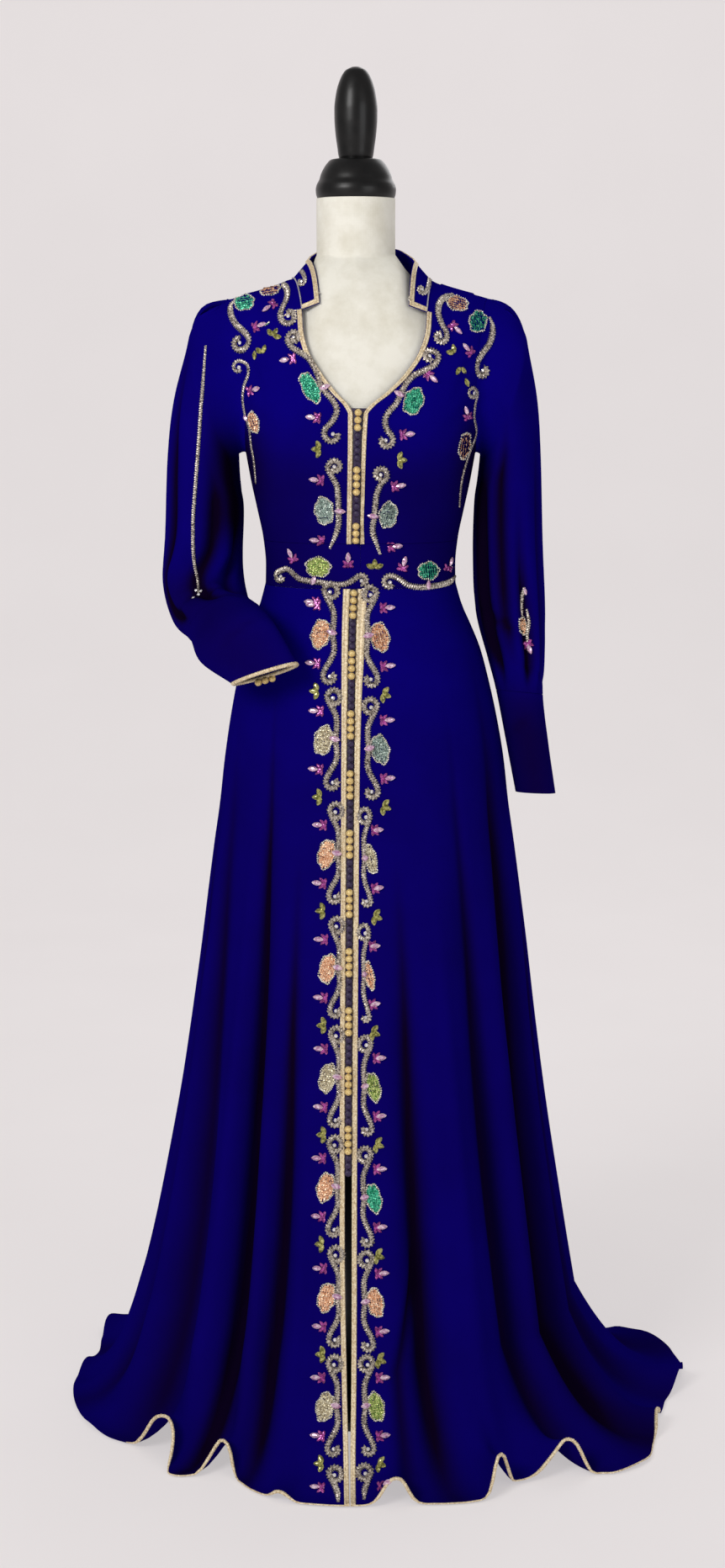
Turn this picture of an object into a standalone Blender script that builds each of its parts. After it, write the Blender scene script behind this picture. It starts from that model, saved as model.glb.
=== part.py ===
"""A long embroidered kaftan, open down the front with knotted buttons, worn by a limbless dress form.

Metres, +Z up. The origin is on the floor, under the form's axis. The kaftan's front faces -Y and the
wearer's right side is at -X. Cloth is a thin wall: each piece is a grid of outer points worked out
from a section table, moved in along its normals by the wall.
"""

import math

import bpy
import numpy as np

# Driving dimensions
CLOTH = 0.0020
COLLAR_WALL = 0.0022
BRAID = 0.0016
SEAM_GAP = 0.0004
LAY_GAP = 0.0005
HEM_GAP = 0.0011
BRAID_WIDTH = 0.0065
PIPING_WIDTH = 0.0035
PIPING_SWELL = 0.0002
COLLAR_PIPING = 0.0025

BAND_BOTTOM = 1.1050
BAND_TOP = 1.1620
V_POINT = 1.3330
SLIT_TOP = 0.3760
SHOULDER_REACH = 0.1680
SHOULDER_ROUND_FRONT = 0.100
SHOULDER_ROUND_BACK = 0.090
UNDERARM = 1.2720
BODICE_CENTRE = 0.0060

SKIRT_TOP = BAND_BOTTOM - SEAM_GAP
SKIRT_BREAK = 0.1360
HEM_HEIGHT = 0.0042
SIDE_SEAM = 95.0

NECK_RADIUS = 0.0505
NECK_TOP = 1.5965
FORM_BOTTOM = 0.8600
FORM_CLEARANCE = 0.0025
POLE_RADIUS = 0.0160
BASE_RADIUS = 0.1700
BASE_THICKNESS = 0.0220

KNOT_RADIUS = 0.0042
KNOT_PITCH = 0.0092
SKIRT_GROUPS = 10
SKIRT_GROUP_TOP = 1.1030
SKIRT_GROUP_PITCH = 0.0738
KNOTS_IN_SKIRT_GROUP = 4
KNOTS_ON_CUFF = 3
STRIP_SHARE = 0.88
STRIP_WALL = 0.0016
STRIP_SWELL = 0.0006

# The groups of knots down the bodice: height of the group's top, number of knots
BODICE_GROUPS = (
    (1.3320, 3),
    (1.2620, 4),
    (1.1910, 3),
)

# Sections of the torso as the cloth lies on it: height, half width, front depth, back depth
BODY = (
    (0.860, 0.1490, 0.1120, 0.1130),
    (0.950, 0.1550, 0.1150, 0.1180),
    (1.000, 0.1500, 0.1120, 0.1110),
    (1.060, 0.1350, 0.1060, 0.0980),
    (1.105, 0.1245, 0.1010, 0.0885),
    (1.130, 0.1240, 0.1000, 0.0880),
    (1.163, 0.1270, 0.1030, 0.0890),
    (1.200, 0.1345, 0.1100, 0.0930),
    (1.240, 0.1430, 0.1180, 0.0980),
    (1.280, 0.1500, 0.1220, 0.1010),
    (1.320, 0.1560, 0.1200, 0.1030),
    (1.360, 0.1620, 0.1130, 0.1030),
    (1.400, 0.1680, 0.1040, 0.1010),
    (1.440, 0.1740, 0.0970, 0.0970),
    (1.530, 0.1760, 0.0900, 0.1000),
)
BODY_POWER = 2.3

# The shoulder line seen from the front: distance from the middle, height of the cloth
SHOULDER_LINE = (
    (0.000, 1.5200),
    (0.050, 1.5140),
    (0.080, 1.5000),
    (0.100, 1.4895),
    (0.130, 1.4800),
    (0.155, 1.4735),
    (0.170, 1.4690),
    (0.200, 1.4600),
)

# The form's own shoulder line: distance from the middle, height
FORM_SHOULDER = (
    (0.000, 1.5430),
    (0.050, 1.5260),
    (0.060, 1.5080),
    (0.070, 1.4940),
    (0.085, 1.4865),
    (0.100, 1.4830),
    (0.130, 1.4753),
    (0.155, 1.4688),
    (0.170, 1.4640),
    (0.200, 1.4550),
)

# The front edge of each bodice front: height, x of the right front's edge, x of the left front's edge
FRONT_EDGE = (
    (1.1630, -0.0055, 0.0052),
    (1.3250, -0.0035, 0.0095),
    (1.3340, -0.0075, 0.0160),
    (1.3500, -0.0230, 0.0370),
    (1.3730, -0.0425, 0.0620),
    (1.3980, -0.0590, 0.0800),
    (1.4200, -0.0655, 0.0875),
    (1.4410, -0.0680, 0.0900),
    (1.4700, -0.0740, 0.0940),
    (1.4960, -0.0825, 0.0985),
)
NECK_POINT_RIGHT = 1.4960
NECK_POINT_LEFT = 1.4930
BACK_NECK_HEIGHT = 1.5020

# The line down the middle of the fronts: height, x, half the gap between the two edges
CLOSING_LINE = (
    (0.000, -0.0068, 0.0006),
    (0.080, -0.0078, 0.0012),
    (0.140, -0.0085, 0.0030),
    (0.300, -0.0095, 0.0044),
    (0.700, -0.0078, 0.0045),
    (1.050, -0.0045, 0.0046),
    (1.105, -0.0022, 0.0046),
)

# Sections of the skirt: height, half width, front depth, back depth, centre x
SKIRT = (
    (0.136, 0.3009, 0.3030, 0.3450, 0.0010),
    (0.173, 0.2923, 0.2930, 0.3300, 0.0033),
    (0.293, 0.2689, 0.2650, 0.2920, 0.0068),
    (0.411, 0.2486, 0.2420, 0.2620, 0.0085),
    (0.528, 0.2314, 0.2220, 0.2370, 0.0096),
    (0.644, 0.2155, 0.2040, 0.2140, 0.0108),
    (0.759, 0.1997, 0.1860, 0.1930, 0.0107),
    (0.816, 0.1913, 0.1770, 0.1820, 0.0107),
    (0.871, 0.1850, 0.1680, 0.1710, 0.0107),
    (0.927, 0.1760, 0.1560, 0.1580, 0.0100),
    (0.980, 0.1650, 0.1430, 0.1430, 0.0090),
    (1.020, 0.1550, 0.1320, 0.1290, 0.0080),
    (1.047, 0.1450, 0.1230, 0.1170, 0.0070),
    (1.078, 0.1320, 0.1110, 0.1010, 0.0063),
    (1.105, 0.1245, 0.1010, 0.0885, 0.0060),
)

# Folds that run down the skirt: angle at the top, angle at the floor, height where it starts,
# depth at the floor, half width in degrees
FOLDS = (
    (-41.0, -34.5, 0.96, 0.034, 4.6),
    (-24.0, -23.0, 0.74, 0.024, 4.6),
    (-66.0, -54.0, 0.98, 0.026, 6.5),
    (-80.0, -78.0, 0.85, 0.026, 5.5),
    (-104.0, -106.0, 0.96, 0.030, 6.5),
    (-126.0, -129.0, 0.90, 0.034, 7.0),
    (-149.0, -152.0, 1.00, 0.032, 7.5),
    (-171.0, -173.0, 0.86, 0.030, 6.5),
    (12.0, 18.0, 0.78, 0.028, 5.0),
    (36.0, 45.0, 0.94, 0.030, 5.5),
    (63.0, 62.5, 1.02, 0.042, 7.0),
    (81.0, 80.0, 0.80, 0.020, 5.0),
    (103.0, 104.0, 0.94, 0.032, 6.5),
    (124.0, 127.0, 0.98, 0.034, 7.0),
    (146.0, 149.0, 0.88, 0.030, 6.5),
    (167.0, 169.0, 0.95, 0.032, 6.5),
)

# Waves of the hem that stand off the floor: angle, half width in degrees, height
ARCHES = (
    (-13.5, 2.2, 0.013),
    (-29.3, 2.5, 0.036),
    (-46.3, 4.3, 0.052),
    (-97.0, 4.0, 0.022),
    (-119.0, 5.0, 0.032),
    (-139.0, 5.0, 0.016),
    (-162.0, 5.0, 0.028),
    (7.2, 3.0, 0.033),
    (26.8, 2.4, 0.046),
    (39.6, 4.0, 0.044),
    (68.0, 3.6, 0.020),
    (88.0, 4.0, 0.030),
    (110.0, 5.0, 0.020),
    (137.0, 5.0, 0.018),
    (158.0, 5.0, 0.030),
    (179.0, 4.5, 0.024),
)

# The hem on the floor seen from above: angle of the fall above it, angle where it lands, distance
# from the origin. Where the second angle turns back, the hem curls under itself
HEM = (
    (-180.0, -180.0, 0.500),
    (-168.0, -168.0, 0.488),
    (-156.0, -156.0, 0.440),
    (-146.0, -146.0, 0.402),
    (-138.0, -138.0, 0.388),
    (-130.0, -130.0, 0.400),
    (-122.0, -122.0, 0.420),
    (-113.0, -113.0, 0.398),
    (-104.0, -104.0, 0.378),
    (-95.0, -95.0, 0.384),
    (-86.0, -86.0, 0.389),
    (-73.0, -73.0, 0.387),
    (-60.0, -60.0, 0.378),
    (-53.0, -53.0, 0.362),
    (-49.0, -48.4, 0.354),
    (-46.0, -44.0, 0.350),
    (-43.6, -41.2, 0.356),
    (-41.4, -39.9, 0.367),
    (-39.4, -38.9, 0.379),
    (-37.4, -37.6, 0.387),
    (-35.4, -36.0, 0.386),
    (-33.8, -34.1, 0.376),
    (-32.5, -32.5, 0.366),
    (-30.0, -30.5, 0.338),
    (-27.5, -27.6, 0.342),
    (-24.0, -24.0, 0.360),
    (-17.5, -17.5, 0.385),
    (-10.0, -10.0, 0.398),
    (-2.0, -2.0, 0.400),
    (8.0, 8.0, 0.396),
    (14.0, 14.0, 0.406),
    (22.0, 22.0, 0.414),
    (27.0, 27.0, 0.396),
    (31.0, 30.8, 0.391),
    (35.0, 36.0, 0.394),
    (37.6, 40.0, 0.398),
    (39.6, 41.3, 0.403),
    (41.6, 42.6, 0.411),
    (43.8, 43.8, 0.421),
    (46.0, 45.3, 0.432),
    (49.0, 47.6, 0.448),
    (54.0, 54.0, 0.458),
    (61.0, 61.0, 0.442),
    (70.0, 70.0, 0.424),
    (79.0, 79.0, 0.424),
    (87.0, 87.0, 0.442),
    (96.0, 96.0, 0.450),
    (104.0, 104.0, 0.434),
    (112.0, 112.0, 0.408),
    (120.0, 120.0, 0.384),
    (130.0, 130.0, 0.372),
    (142.0, 142.0, 0.392),
    (155.0, 155.0, 0.440),
    (168.0, 168.0, 0.488),
    (180.0, 180.0, 0.500),
)

# Where the columns of each skirt front lie: share of the columns, share of the way to the side
COLUMN_STOPS = (0.00, 0.22, 0.75, 1.00)
COLUMN_SHARES = (0.00, 0.26, 0.64, 1.00)

# Sections of each sleeve below the armhole: outer point, inner point, half depth across them
SLEEVE_RIGHT = (
    (-0.2130, 0.005, 1.4200, -0.1560, 0.005, 1.2660, 0.0660),
    (-0.2345, 0.010, 1.3470, -0.1520, 0.010, 1.2350, 0.0640),
    (-0.2455, 0.018, 1.2750, -0.1470, 0.018, 1.2020, 0.0600),
    (-0.2510, 0.034, 1.1800, -0.1500, 0.024, 1.1450, 0.0560),
    (-0.2500, 0.060, 1.0980, -0.1520, -0.004, 1.1040, 0.0500),
    (-0.2330, 0.030, 1.0400, -0.1430, -0.052, 1.0920, 0.0440),
    (-0.2079, -0.042, 1.0252, -0.1249, -0.107, 1.0863, 0.0400),
    (-0.1941, -0.114, 1.0097, -0.1047, -0.160, 1.0690, 0.0330),
    (-0.1564, -0.142, 0.9885, -0.0750, -0.170, 1.0196, 0.0230),
)
SLEEVE_LEFT = (
    (0.2190, 0.005, 1.4200, 0.1640, 0.005, 1.2660, 0.0660),
    (0.2345, 0.008, 1.3470, 0.1590, 0.008, 1.2370, 0.0630),
    (0.2410, 0.010, 1.2750, 0.1545, 0.010, 1.2080, 0.0600),
    (0.2450, 0.006, 1.1600, 0.1530, 0.006, 1.1400, 0.0570),
    (0.2490, 0.000, 1.0700, 0.1570, 0.000, 1.0680, 0.0530),
    (0.2480, -0.012, 1.0000, 0.1730, -0.012, 1.0070, 0.0430),
    (0.2455, -0.018, 0.9590, 0.1840, -0.018, 0.9650, 0.0310),
    (0.2530, -0.026, 0.8950, 0.1970, -0.026, 0.8990, 0.0280),
    (0.2627, -0.032, 0.8300, 0.2100, -0.032, 0.8320, 0.0250),
)
# Rings between one section and the next
SLEEVE_STEPS = (1, 1, 1, 2, 2, 1, 1, 1)
# The section at which each sleeve is sewn to its cuff, counted from 0
CUFF_SECTION = 6

# Each sleeve: side, name, sections, ring point at which its knots start, their gap from the cuff
CUFF_KNOTS = (
    (-1, "right", SLEEVE_RIGHT, 12, 0.0019),
    (1, "left", SLEEVE_LEFT, 2, 0.0007),
)
# Rows of the bodice panels above the underarm, as shares of the way to the shoulder seam
ARMHOLE_ROWS = (0.0, 0.03, 0.10, 0.20, 0.32, 0.45, 0.60, 0.745, 0.80, 0.88, 0.95, 1.0)
NOTCH_ROW = 0.745
BACK_NECK_SHARE = 0.42

# The collar along its seam: share of the way from the right notch, height, lean towards the neck
COLLAR = (
    (0.00, 0.0240, 0.95),
    (0.12, 0.0290, 0.80),
    (0.28, 0.0340, 0.55),
    (0.40, 0.0350, 0.20),
    (0.50, 0.0360, 0.06),
    (0.60, 0.0350, 0.20),
    (0.72, 0.0340, 0.55),
    (0.88, 0.0290, 0.80),
    (1.00, 0.0240, 0.95),
)

# Turned profiles: radius, height
CAP_PROFILE = (
    (0.0495, 1.5970),
    (0.0510, 1.6020),
    (0.0515, 1.6075),
    (0.0505, 1.6130),
    (0.0470, 1.6200),
    (0.0450, 1.6265),
    (0.0420, 1.6330),
    (0.0365, 1.6410),
    (0.0320, 1.6450),
    (0.0260, 1.6462),
)
FINIAL_PROFILE = (
    (0.0212, 1.6466),
    (0.0222, 1.6500),
    (0.0238, 1.6610),
    (0.0260, 1.6770),
    (0.0274, 1.6960),
    (0.0275, 1.7080),
    (0.0255, 1.7260),
    (0.0212, 1.7420),
    (0.0130, 1.7560),
    (0.0050, 1.7600),
)

ROYAL_BLUE = (0.012, 0.010, 0.200, 1.0)
PALE_GOLD = (0.620, 0.430, 0.200, 1.0)
DARK_LOOP = (0.020, 0.006, 0.050, 1.0)
LINEN = (0.780, 0.740, 0.620, 1.0)
BLACK_WOOD = (0.010, 0.009, 0.009, 1.0)
GREY_STEEL = (0.200, 0.200, 0.200, 1.0)


def smooth(xs, ys, at):
    """A smooth curve through the points that never overshoots them, read at the values given."""
    xs, ys, at = np.asarray(xs, float), np.asarray(ys, float), np.asarray(at, float)
    step = np.diff(xs)
    rise = np.diff(ys) / step
    slope = np.concatenate(([rise[0]], np.zeros(len(xs) - 2), [rise[-1]]))
    for i in range(1, len(xs) - 1):
        if rise[i - 1] * rise[i] > 0:
            before, after = 2 * step[i] + step[i - 1], step[i] + 2 * step[i - 1]
            slope[i] = (before + after) / (before / rise[i - 1] + after / rise[i])
    k = np.clip(np.searchsorted(xs, at) - 1, 0, len(xs) - 2)
    f = np.clip((at - xs[k]) / step[k], 0.0, 1.0)
    return (
        ys[k] * (1 + 2 * f) * (1 - f) ** 2
        + ys[k + 1] * f * f * (3 - 2 * f)
        + step[k] * (slope[k] * f * (1 - f) ** 2 - slope[k + 1] * f * f * (1 - f))
    )


def column(rows, number, at):
    """The numbered column of a table, read smoothly along its first column."""
    return smooth([row[0] for row in rows], [row[number] for row in rows], at)


def signed_power(value, power):
    return np.sign(value) * np.abs(value) ** power


def ease(value):
    value = np.clip(value, 0.0, 1.0)
    return value * value * (3 - 2 * value)


# Surfaces


def torso(angle, height, shrink=0.0):
    """A point of the torso: the angle is 0 at the front, 90 at the wearer's left and 180 behind."""
    angle, height = np.broadcast_arrays(np.radians(angle), np.asarray(height, float))
    wide = column(BODY, 1, height) - shrink
    front, back = column(BODY, 2, height) - shrink, column(BODY, 3, height) - shrink
    across = wide * signed_power(np.sin(angle), 2 / BODY_POWER)
    ahead = np.cos(angle) >= 0
    deep = np.where(ahead, front, back) * signed_power(np.cos(angle), 2 / BODY_POWER)
    top = column(SHOULDER_LINE, 1, np.abs(across)) - shrink
    rounding = np.where(ahead, SHOULDER_ROUND_FRONT, SHOULDER_ROUND_BACK)
    below = np.clip((top - height) / rounding, 0.0, 1.0)
    deep = deep * np.sqrt(1 - (1 - below) ** 2)
    return np.stack([BODICE_CENTRE + across, -deep, height], axis=-1)


def torso_angle(x, height):
    """The angle at which the front of the torso has this x."""
    reach = np.abs(np.asarray(x) - BODICE_CENTRE) / column(BODY, 1, height)
    return np.degrees(np.arcsin(np.clip(reach, 0.0, 1.0) ** (BODY_POWER / 2)))


def armhole_angle(height, bulge):
    """The angle of the side seam and, above the underarm, of the armhole's edge."""
    tip = column(SHOULDER_LINE, 1, SHOULDER_REACH)
    share = np.clip((np.asarray(height, float) - UNDERARM) / (tip - UNDERARM), 0.0, 1.0)
    end = torso_angle(BODICE_CENTRE + SHOULDER_REACH, tip)
    return 90.0 + (end - 90.0) * share - bulge * np.sqrt(np.sin(np.pi * share).clip(0.0))


def fold_depth(angle, height):
    depth = np.zeros(np.broadcast(angle, height).shape)
    for top, low, start, deep, width in FOLDS:
        share = (start - height) / (start - SKIRT_BREAK)
        middle = top + (low - top) * np.clip(share, 0.0, 1.0)
        away = (angle - middle + 180.0) % 360.0 - 180.0
        depth = depth + deep * ease(share) * np.exp(-((away / width) ** 2))
    return depth


def hem_lift(angle):
    lift = np.zeros(np.shape(angle))
    for middle, width, high in ARCHES:
        away = np.abs((angle - middle + 180.0) % 360.0 - 180.0)
        lift = lift + high * np.exp(-((away / width) ** 2.6))
    return lift


def skirt(angle, down):
    """A point of the skirt. down is 0 at the waist, 1 where it bends onto the floor and 2 at the hem."""
    angle, down = np.broadcast_arrays(np.asarray(angle, float), np.asarray(down, float))
    height = SKIRT_TOP + (SKIRT_BREAK - SKIRT_TOP) * np.minimum(down, 1.0)
    out = np.clip(down - 1.0, 0.0, 1.2)
    power = 1.0 - (1.0 - 2 / BODY_POWER) * ease((height - 0.85) / (SKIRT_TOP - 0.85))
    turn = np.radians(angle)
    deep = np.where(np.cos(turn) >= 0, column(SKIRT, 2, height), column(SKIRT, 3, height))
    x = column(SKIRT, 1, height) * signed_power(np.sin(turn), power)
    y = -deep * signed_power(np.cos(turn), power)
    pulled = 1 - fold_depth(angle, height) / np.hypot(x, y)
    x, y = x * pulled + column(SKIRT, 4, height), y * pulled
    here = (angle + 180.0) % 360.0 - 180.0
    reach = column(HEM, 2, here)
    turn = turn + np.radians(column(HEM, 1, here) - here) * out ** 2
    x = x + (reach * np.sin(turn) - x) * out
    y = y + (-reach * np.cos(turn) - y) * out
    fall = (SKIRT_BREAK - HEM_HEIGHT) * np.clip(1 - out, 0.0, 1.0) ** 2.3
    low = HEM_HEIGHT + fall + hem_lift(angle) * ease(out * 0.75) / ease(0.75)
    return np.stack([x, y, np.where(down > 1.0, low, height)], axis=-1)


def skirt_down(height):
    return (SKIRT_TOP - np.asarray(height, float)) / (SKIRT_TOP - SKIRT_BREAK)


# Grids of points with their normals


def grid_of(surface, across, along, step=1e-4):
    """Outer points and unit normals of surface(across, along) over two arrays of the same shape."""
    points = surface(across, along)
    one = surface(across + step, along) - surface(across - step, along)
    two = surface(across, along + step) - surface(across, along - step)
    normals = np.cross(one, two)
    normals /= np.linalg.norm(normals, axis=-1, keepdims=True)
    return points, normals


def outward(points, normals, centre):
    """Normals turned to point away from a centre, given as a point or one for each row."""
    away = ((points - centre) * normals).sum(axis=-1)
    return normals * np.sign(np.median(away))


def panel_points(side, u, v):
    """The bodice panel as a surface of its own two shares, u across and v up."""
    tip = float(column(SHOULDER_LINE, 1, SHOULDER_REACH))
    neck = NECK_POINT_RIGHT if side < 0 else NECK_POINT_LEFT
    number = 1 if side < 0 else 2
    side_heights = BAND_TOP + SEAM_GAP + (tip - BAND_TOP - SEAM_GAP) * v
    edge_heights = BAND_TOP + SEAM_GAP + (neck - BAND_TOP - SEAM_GAP) * v
    edge_x = column(FRONT_EDGE, number, edge_heights)
    edge_angles = torso_angle(edge_x, edge_heights)
    edge_angles = np.where((edge_x - BODICE_CENTRE) * side < 0, -edge_angles, edge_angles)
    side_angles = armhole_angle(side_heights, 19.0)
    angles = edge_angles * (1 - u) + side_angles * u
    heights = edge_heights * (1 - u) + side_heights * u
    reach = column(BODY, 1, heights) * np.sin(np.radians(angles.clip(0.0, 90.0))) ** (2 / BODY_POWER)
    heights = heights + (column(SHOULDER_LINE, 1, reach) - heights) * v ** 8
    return torso(angles * side, heights)


def back_points(u, v):
    """The bodice back: u runs from the right side edge, -1, to the left one, 1, and v up."""
    tip = float(column(SHOULDER_LINE, 1, SHOULDER_REACH))
    side_heights = BAND_TOP + SEAM_GAP + (tip - BAND_TOP - SEAM_GAP) * v
    side_angles = armhole_angle(side_heights, 14.0)
    share = np.abs(u)
    neck_x = np.where(u < 0, -0.0825, 0.0985) - BODICE_CENTRE
    flat = np.clip(share / BACK_NECK_SHARE, 0.0, 1.0)
    neck_line = BACK_NECK_HEIGHT + (column(SHOULDER_LINE, 1, np.abs(neck_x)) - BACK_NECK_HEIGHT) * flat ** 4
    on_shoulder = np.clip((share - BACK_NECK_SHARE) / (1 - BACK_NECK_SHARE), 0.0, 1.0)
    top_reach = np.abs(neck_x) * flat + (SHOULDER_REACH - np.abs(neck_x)) * on_shoulder
    top = np.where(share < BACK_NECK_SHARE, neck_line, column(SHOULDER_LINE, 1, top_reach))
    bottom = BAND_TOP + SEAM_GAP
    heights = bottom + (top - bottom) * v
    low_angles = side_angles * share
    top_angles = np.degrees(
        np.arcsin(np.clip(top_reach / column(BODY, 1, top), 0.0, 1.0) ** (BODY_POWER / 2))
    )
    blend = ease(v)
    angles = low_angles * (1 - blend) + top_angles * blend
    pull = share ** 6 * (1 - v ** 8)
    heights = heights * (1 - pull) + side_heights * pull
    angles = angles * (1 - pull) + side_angles * pull
    return torso(180.0 - angles * np.sign(u), heights)


# Solids


def paint(name, colour, roughness, metallic):
    material = bpy.data.materials.get(name) or bpy.data.materials.new(name)
    material.use_nodes = True
    shader = material.node_tree.nodes["Principled BSDF"]
    shader.inputs["Base Color"].default_value = colour
    shader.inputs["Roughness"].default_value = roughness
    shader.inputs["Metallic"].default_value = metallic
    return material


def new_object(name, points, faces, material):
    mesh = bpy.data.meshes.new(name)
    mesh.from_pydata([tuple(map(float, p)) for p in points], [], faces)
    mesh.validate()
    mesh.update()
    mesh.shade_smooth()
    mesh.set_sharp_from_angle(angle=math.radians(40))
    mesh.materials.append(material)
    part = bpy.data.objects.new(name, mesh)
    bpy.context.scene.collection.objects.link(part)
    return part


def slab(name, inner, outer, material, cells=None, closed=False):
    """A closed body between two grids of points, over all their cells or over the ones marked."""
    rows, columns = outer.shape[:2]
    wide = columns if closed else columns - 1
    if cells is None:
        cells = np.ones((rows - 1, wide), bool)
    points = np.concatenate([outer.reshape(-1, 3), inner.reshape(-1, 3)])
    shift = rows * columns
    faces, rims = [], {}
    for r, c in zip(*np.nonzero(cells)):
        d = (c + 1) % columns
        corners = (r * columns + c, r * columns + d, (r + 1) * columns + d, (r + 1) * columns + c)
        for a, b, e in ((0, 1, 2), (0, 2, 3)):
            faces.append((corners[a], corners[b], corners[e]))
            faces.append((corners[e] + shift, corners[b] + shift, corners[a] + shift))
        for a, b in zip(corners, corners[1:] + corners[:1]):
            if (b, a) in rims:
                del rims[(b, a)]
            else:
                rims[(a, b)] = True
    for a, b in rims:
        faces.append((b, a, a + shift))
        faces.append((b, a + shift, b + shift))
    used = sorted({i for face in faces for i in face})
    place = {old: new for new, old in enumerate(used)}
    points = points[used]
    faces = [tuple(place[i] for i in face) for face in faces]
    corners = points[np.array(faces)]
    volume = np.einsum("ij,ij->i", corners[:, 0], np.cross(corners[:, 1], corners[:, 2])).sum()
    if volume < 0:
        faces = [face[::-1] for face in faces]
    return new_object(name, points, faces, material)


def wall(name, grid, material, thickness=CLOTH, **more):
    points, normals = grid
    return slab(name, points - normals * thickness, points, material, **more)


def overlay(name, grid, material, cells, thickness=BRAID):
    """A trim that lies on a panel: the panel's own points moved out."""
    points, normals = grid
    return slab(name, points + normals * LAY_GAP, points + normals * (LAY_GAP + thickness), material, cells)


def edging(name, outer, inner, onward, material, gap=SEAM_GAP, closed=False):
    """A trim that goes on from a wall's edge, a little thicker than the wall."""
    through = outer - inner
    through = through / np.linalg.norm(through, axis=-1, keepdims=True)
    start, end = onward * gap, onward * (gap + PIPING_WIDTH)
    swell = through * PIPING_SWELL
    high = np.stack([outer + swell + start, outer + swell + end])
    low = np.stack([inner - swell + start, inner - swell + end])
    return slab(name, low, high, material, closed=closed)


def turned(name, profile, origin, axis, material, sides):
    """A round body about an axis. The profile holds radius and distance along the axis."""
    axis = np.asarray(axis, float) / np.linalg.norm(axis)
    helper = np.array([1.0, 0.0, 0.0]) if abs(axis[0]) < 0.9 else np.array([0.0, 0.0, 1.0])
    first = np.cross(axis, helper)
    first /= np.linalg.norm(first)
    second = np.cross(axis, first)
    points, faces = [], []
    for radius, along in profile:
        for k in range(sides):
            turn = 2 * math.pi * k / sides
            points.append(origin + axis * along + radius * (first * math.cos(turn) + second * math.sin(turn)))
    for r in range(len(profile) - 1):
        for k in range(sides):
            m = (k + 1) % sides
            faces.append((r * sides + k, r * sides + m, (r + 1) * sides + m, (r + 1) * sides + k))
    faces.append(tuple(reversed(range(sides))))
    faces.append(tuple((len(profile) - 1) * sides + k for k in range(sides)))
    return new_object(name, points, faces, material)


# The dress form


def form_ring(height, sides):
    """One ring of the form's cloth-covered body, just inside the kaftan, with the neck rising from it."""
    shrink = CLOTH + FORM_CLEARANCE
    heights = np.array([row[1] for row in FORM_SHOULDER])[::-1]
    reaches = np.array([row[0] for row in FORM_SHOULDER])[::-1]
    wide = float(column(BODY, 1, height)) - shrink - 0.004
    limit = min(wide, float(np.interp(height, heights, reaches)) if height > heights[0] else 1.0)
    neck_radius = NECK_RADIUS if height > 1.45 else 0.0
    shift = BODICE_CENTRE * (1 - ease((height - 1.49) / 0.04))
    turns = 2 * np.pi * np.arange(sides) / sides
    ahead = np.cos(turns) >= 0
    across = max(limit, neck_radius) * signed_power(np.sin(turns), 2 / BODY_POWER)
    full = np.where(ahead, column(BODY, 2, height), column(BODY, 3, height)) - shrink - 0.003
    share = np.clip(np.abs(across) / wide, 0.0, 1.0)
    deep = full * (1 - share ** BODY_POWER) ** (1 / BODY_POWER)
    cloth = column(SHOULDER_LINE, 1, np.abs(across)) - shrink - 0.001
    top = column(FORM_SHOULDER, 1, np.abs(across))
    top = np.where(ahead, top, np.minimum(top, cloth))
    below = (top - height) / np.where(ahead, SHOULDER_ROUND_FRONT, SHOULDER_ROUND_BACK)
    deep = deep * np.sqrt(1 - (1 - np.clip(below, 0.0, 1.0)) ** 2)
    deep = np.maximum(deep, np.sqrt(np.clip(neck_radius ** 2 - across ** 2, 0.0, None)))
    return [(shift + x, -y if front else y, height) for x, y, front in zip(across, deep, ahead)]


def make_form(linen, black, steel):
    sides = 26
    heights = (
        FORM_BOTTOM, 0.875, 0.94, 1.01, 1.07, 1.13, 1.19, 1.24, 1.29, 1.34, 1.385, 1.42,
        1.447, 1.4605, 1.468, 1.475, 1.482, 1.489, 1.4965, 1.506, 1.516, 1.53, 1.56, NECK_TOP,
    )
    points, faces = [], []
    for number, height in enumerate(heights):
        ring = form_ring(height, sides)
        if number == 0:
            ring = [(x * 0.93, y * 0.93, z) for x, y, z in form_ring(0.875, sides)]
            ring = [(x, y, FORM_BOTTOM) for x, y, _ in ring]
        points += ring
    for r in range(len(heights) - 1):
        for k in range(sides):
            m = (k + 1) % sides
            faces.append((r * sides + k, r * sides + m, (r + 1) * sides + m, (r + 1) * sides + k))
    faces.append(tuple(reversed(range(sides))))
    faces.append(tuple((len(heights) - 1) * sides + k for k in range(sides)))
    new_object("form_body", points, faces, linen)
    up = (0.0, 0.0, 1.0)
    turned("neck_cap", CAP_PROFILE, np.zeros(3), up, black, 24)
    turned("finial", FINIAL_PROFILE, np.zeros(3), up, black, 20)
    pole = ((POLE_RADIUS, BASE_THICKNESS + SEAM_GAP), (POLE_RADIUS, FORM_BOTTOM - SEAM_GAP))
    turned("pole", pole, np.zeros(3), up, steel, 20)
    base = (
        (BASE_RADIUS, 0.0),
        (BASE_RADIUS, BASE_THICKNESS * 0.55),
        (BASE_RADIUS * 0.96, BASE_THICKNESS * 0.85),
        (BASE_RADIUS * 0.88, BASE_THICKNESS),
    )
    turned("base_disc", base, np.zeros(3), up, black, 36)


# The bodice


def bodice_rows():
    """Rows of a bodice panel from the waistband up, with one at the underarm and one at the notch."""
    tip = float(column(SHOULDER_LINE, 1, SHOULDER_REACH))
    low = BAND_TOP + SEAM_GAP
    underarm = (UNDERARM - low) / (tip - low)
    above = [underarm + (1 - underarm) * share for share in ARMHOLE_ROWS]
    return np.array([0.0, underarm * 0.36, underarm * 0.70] + above)


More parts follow.
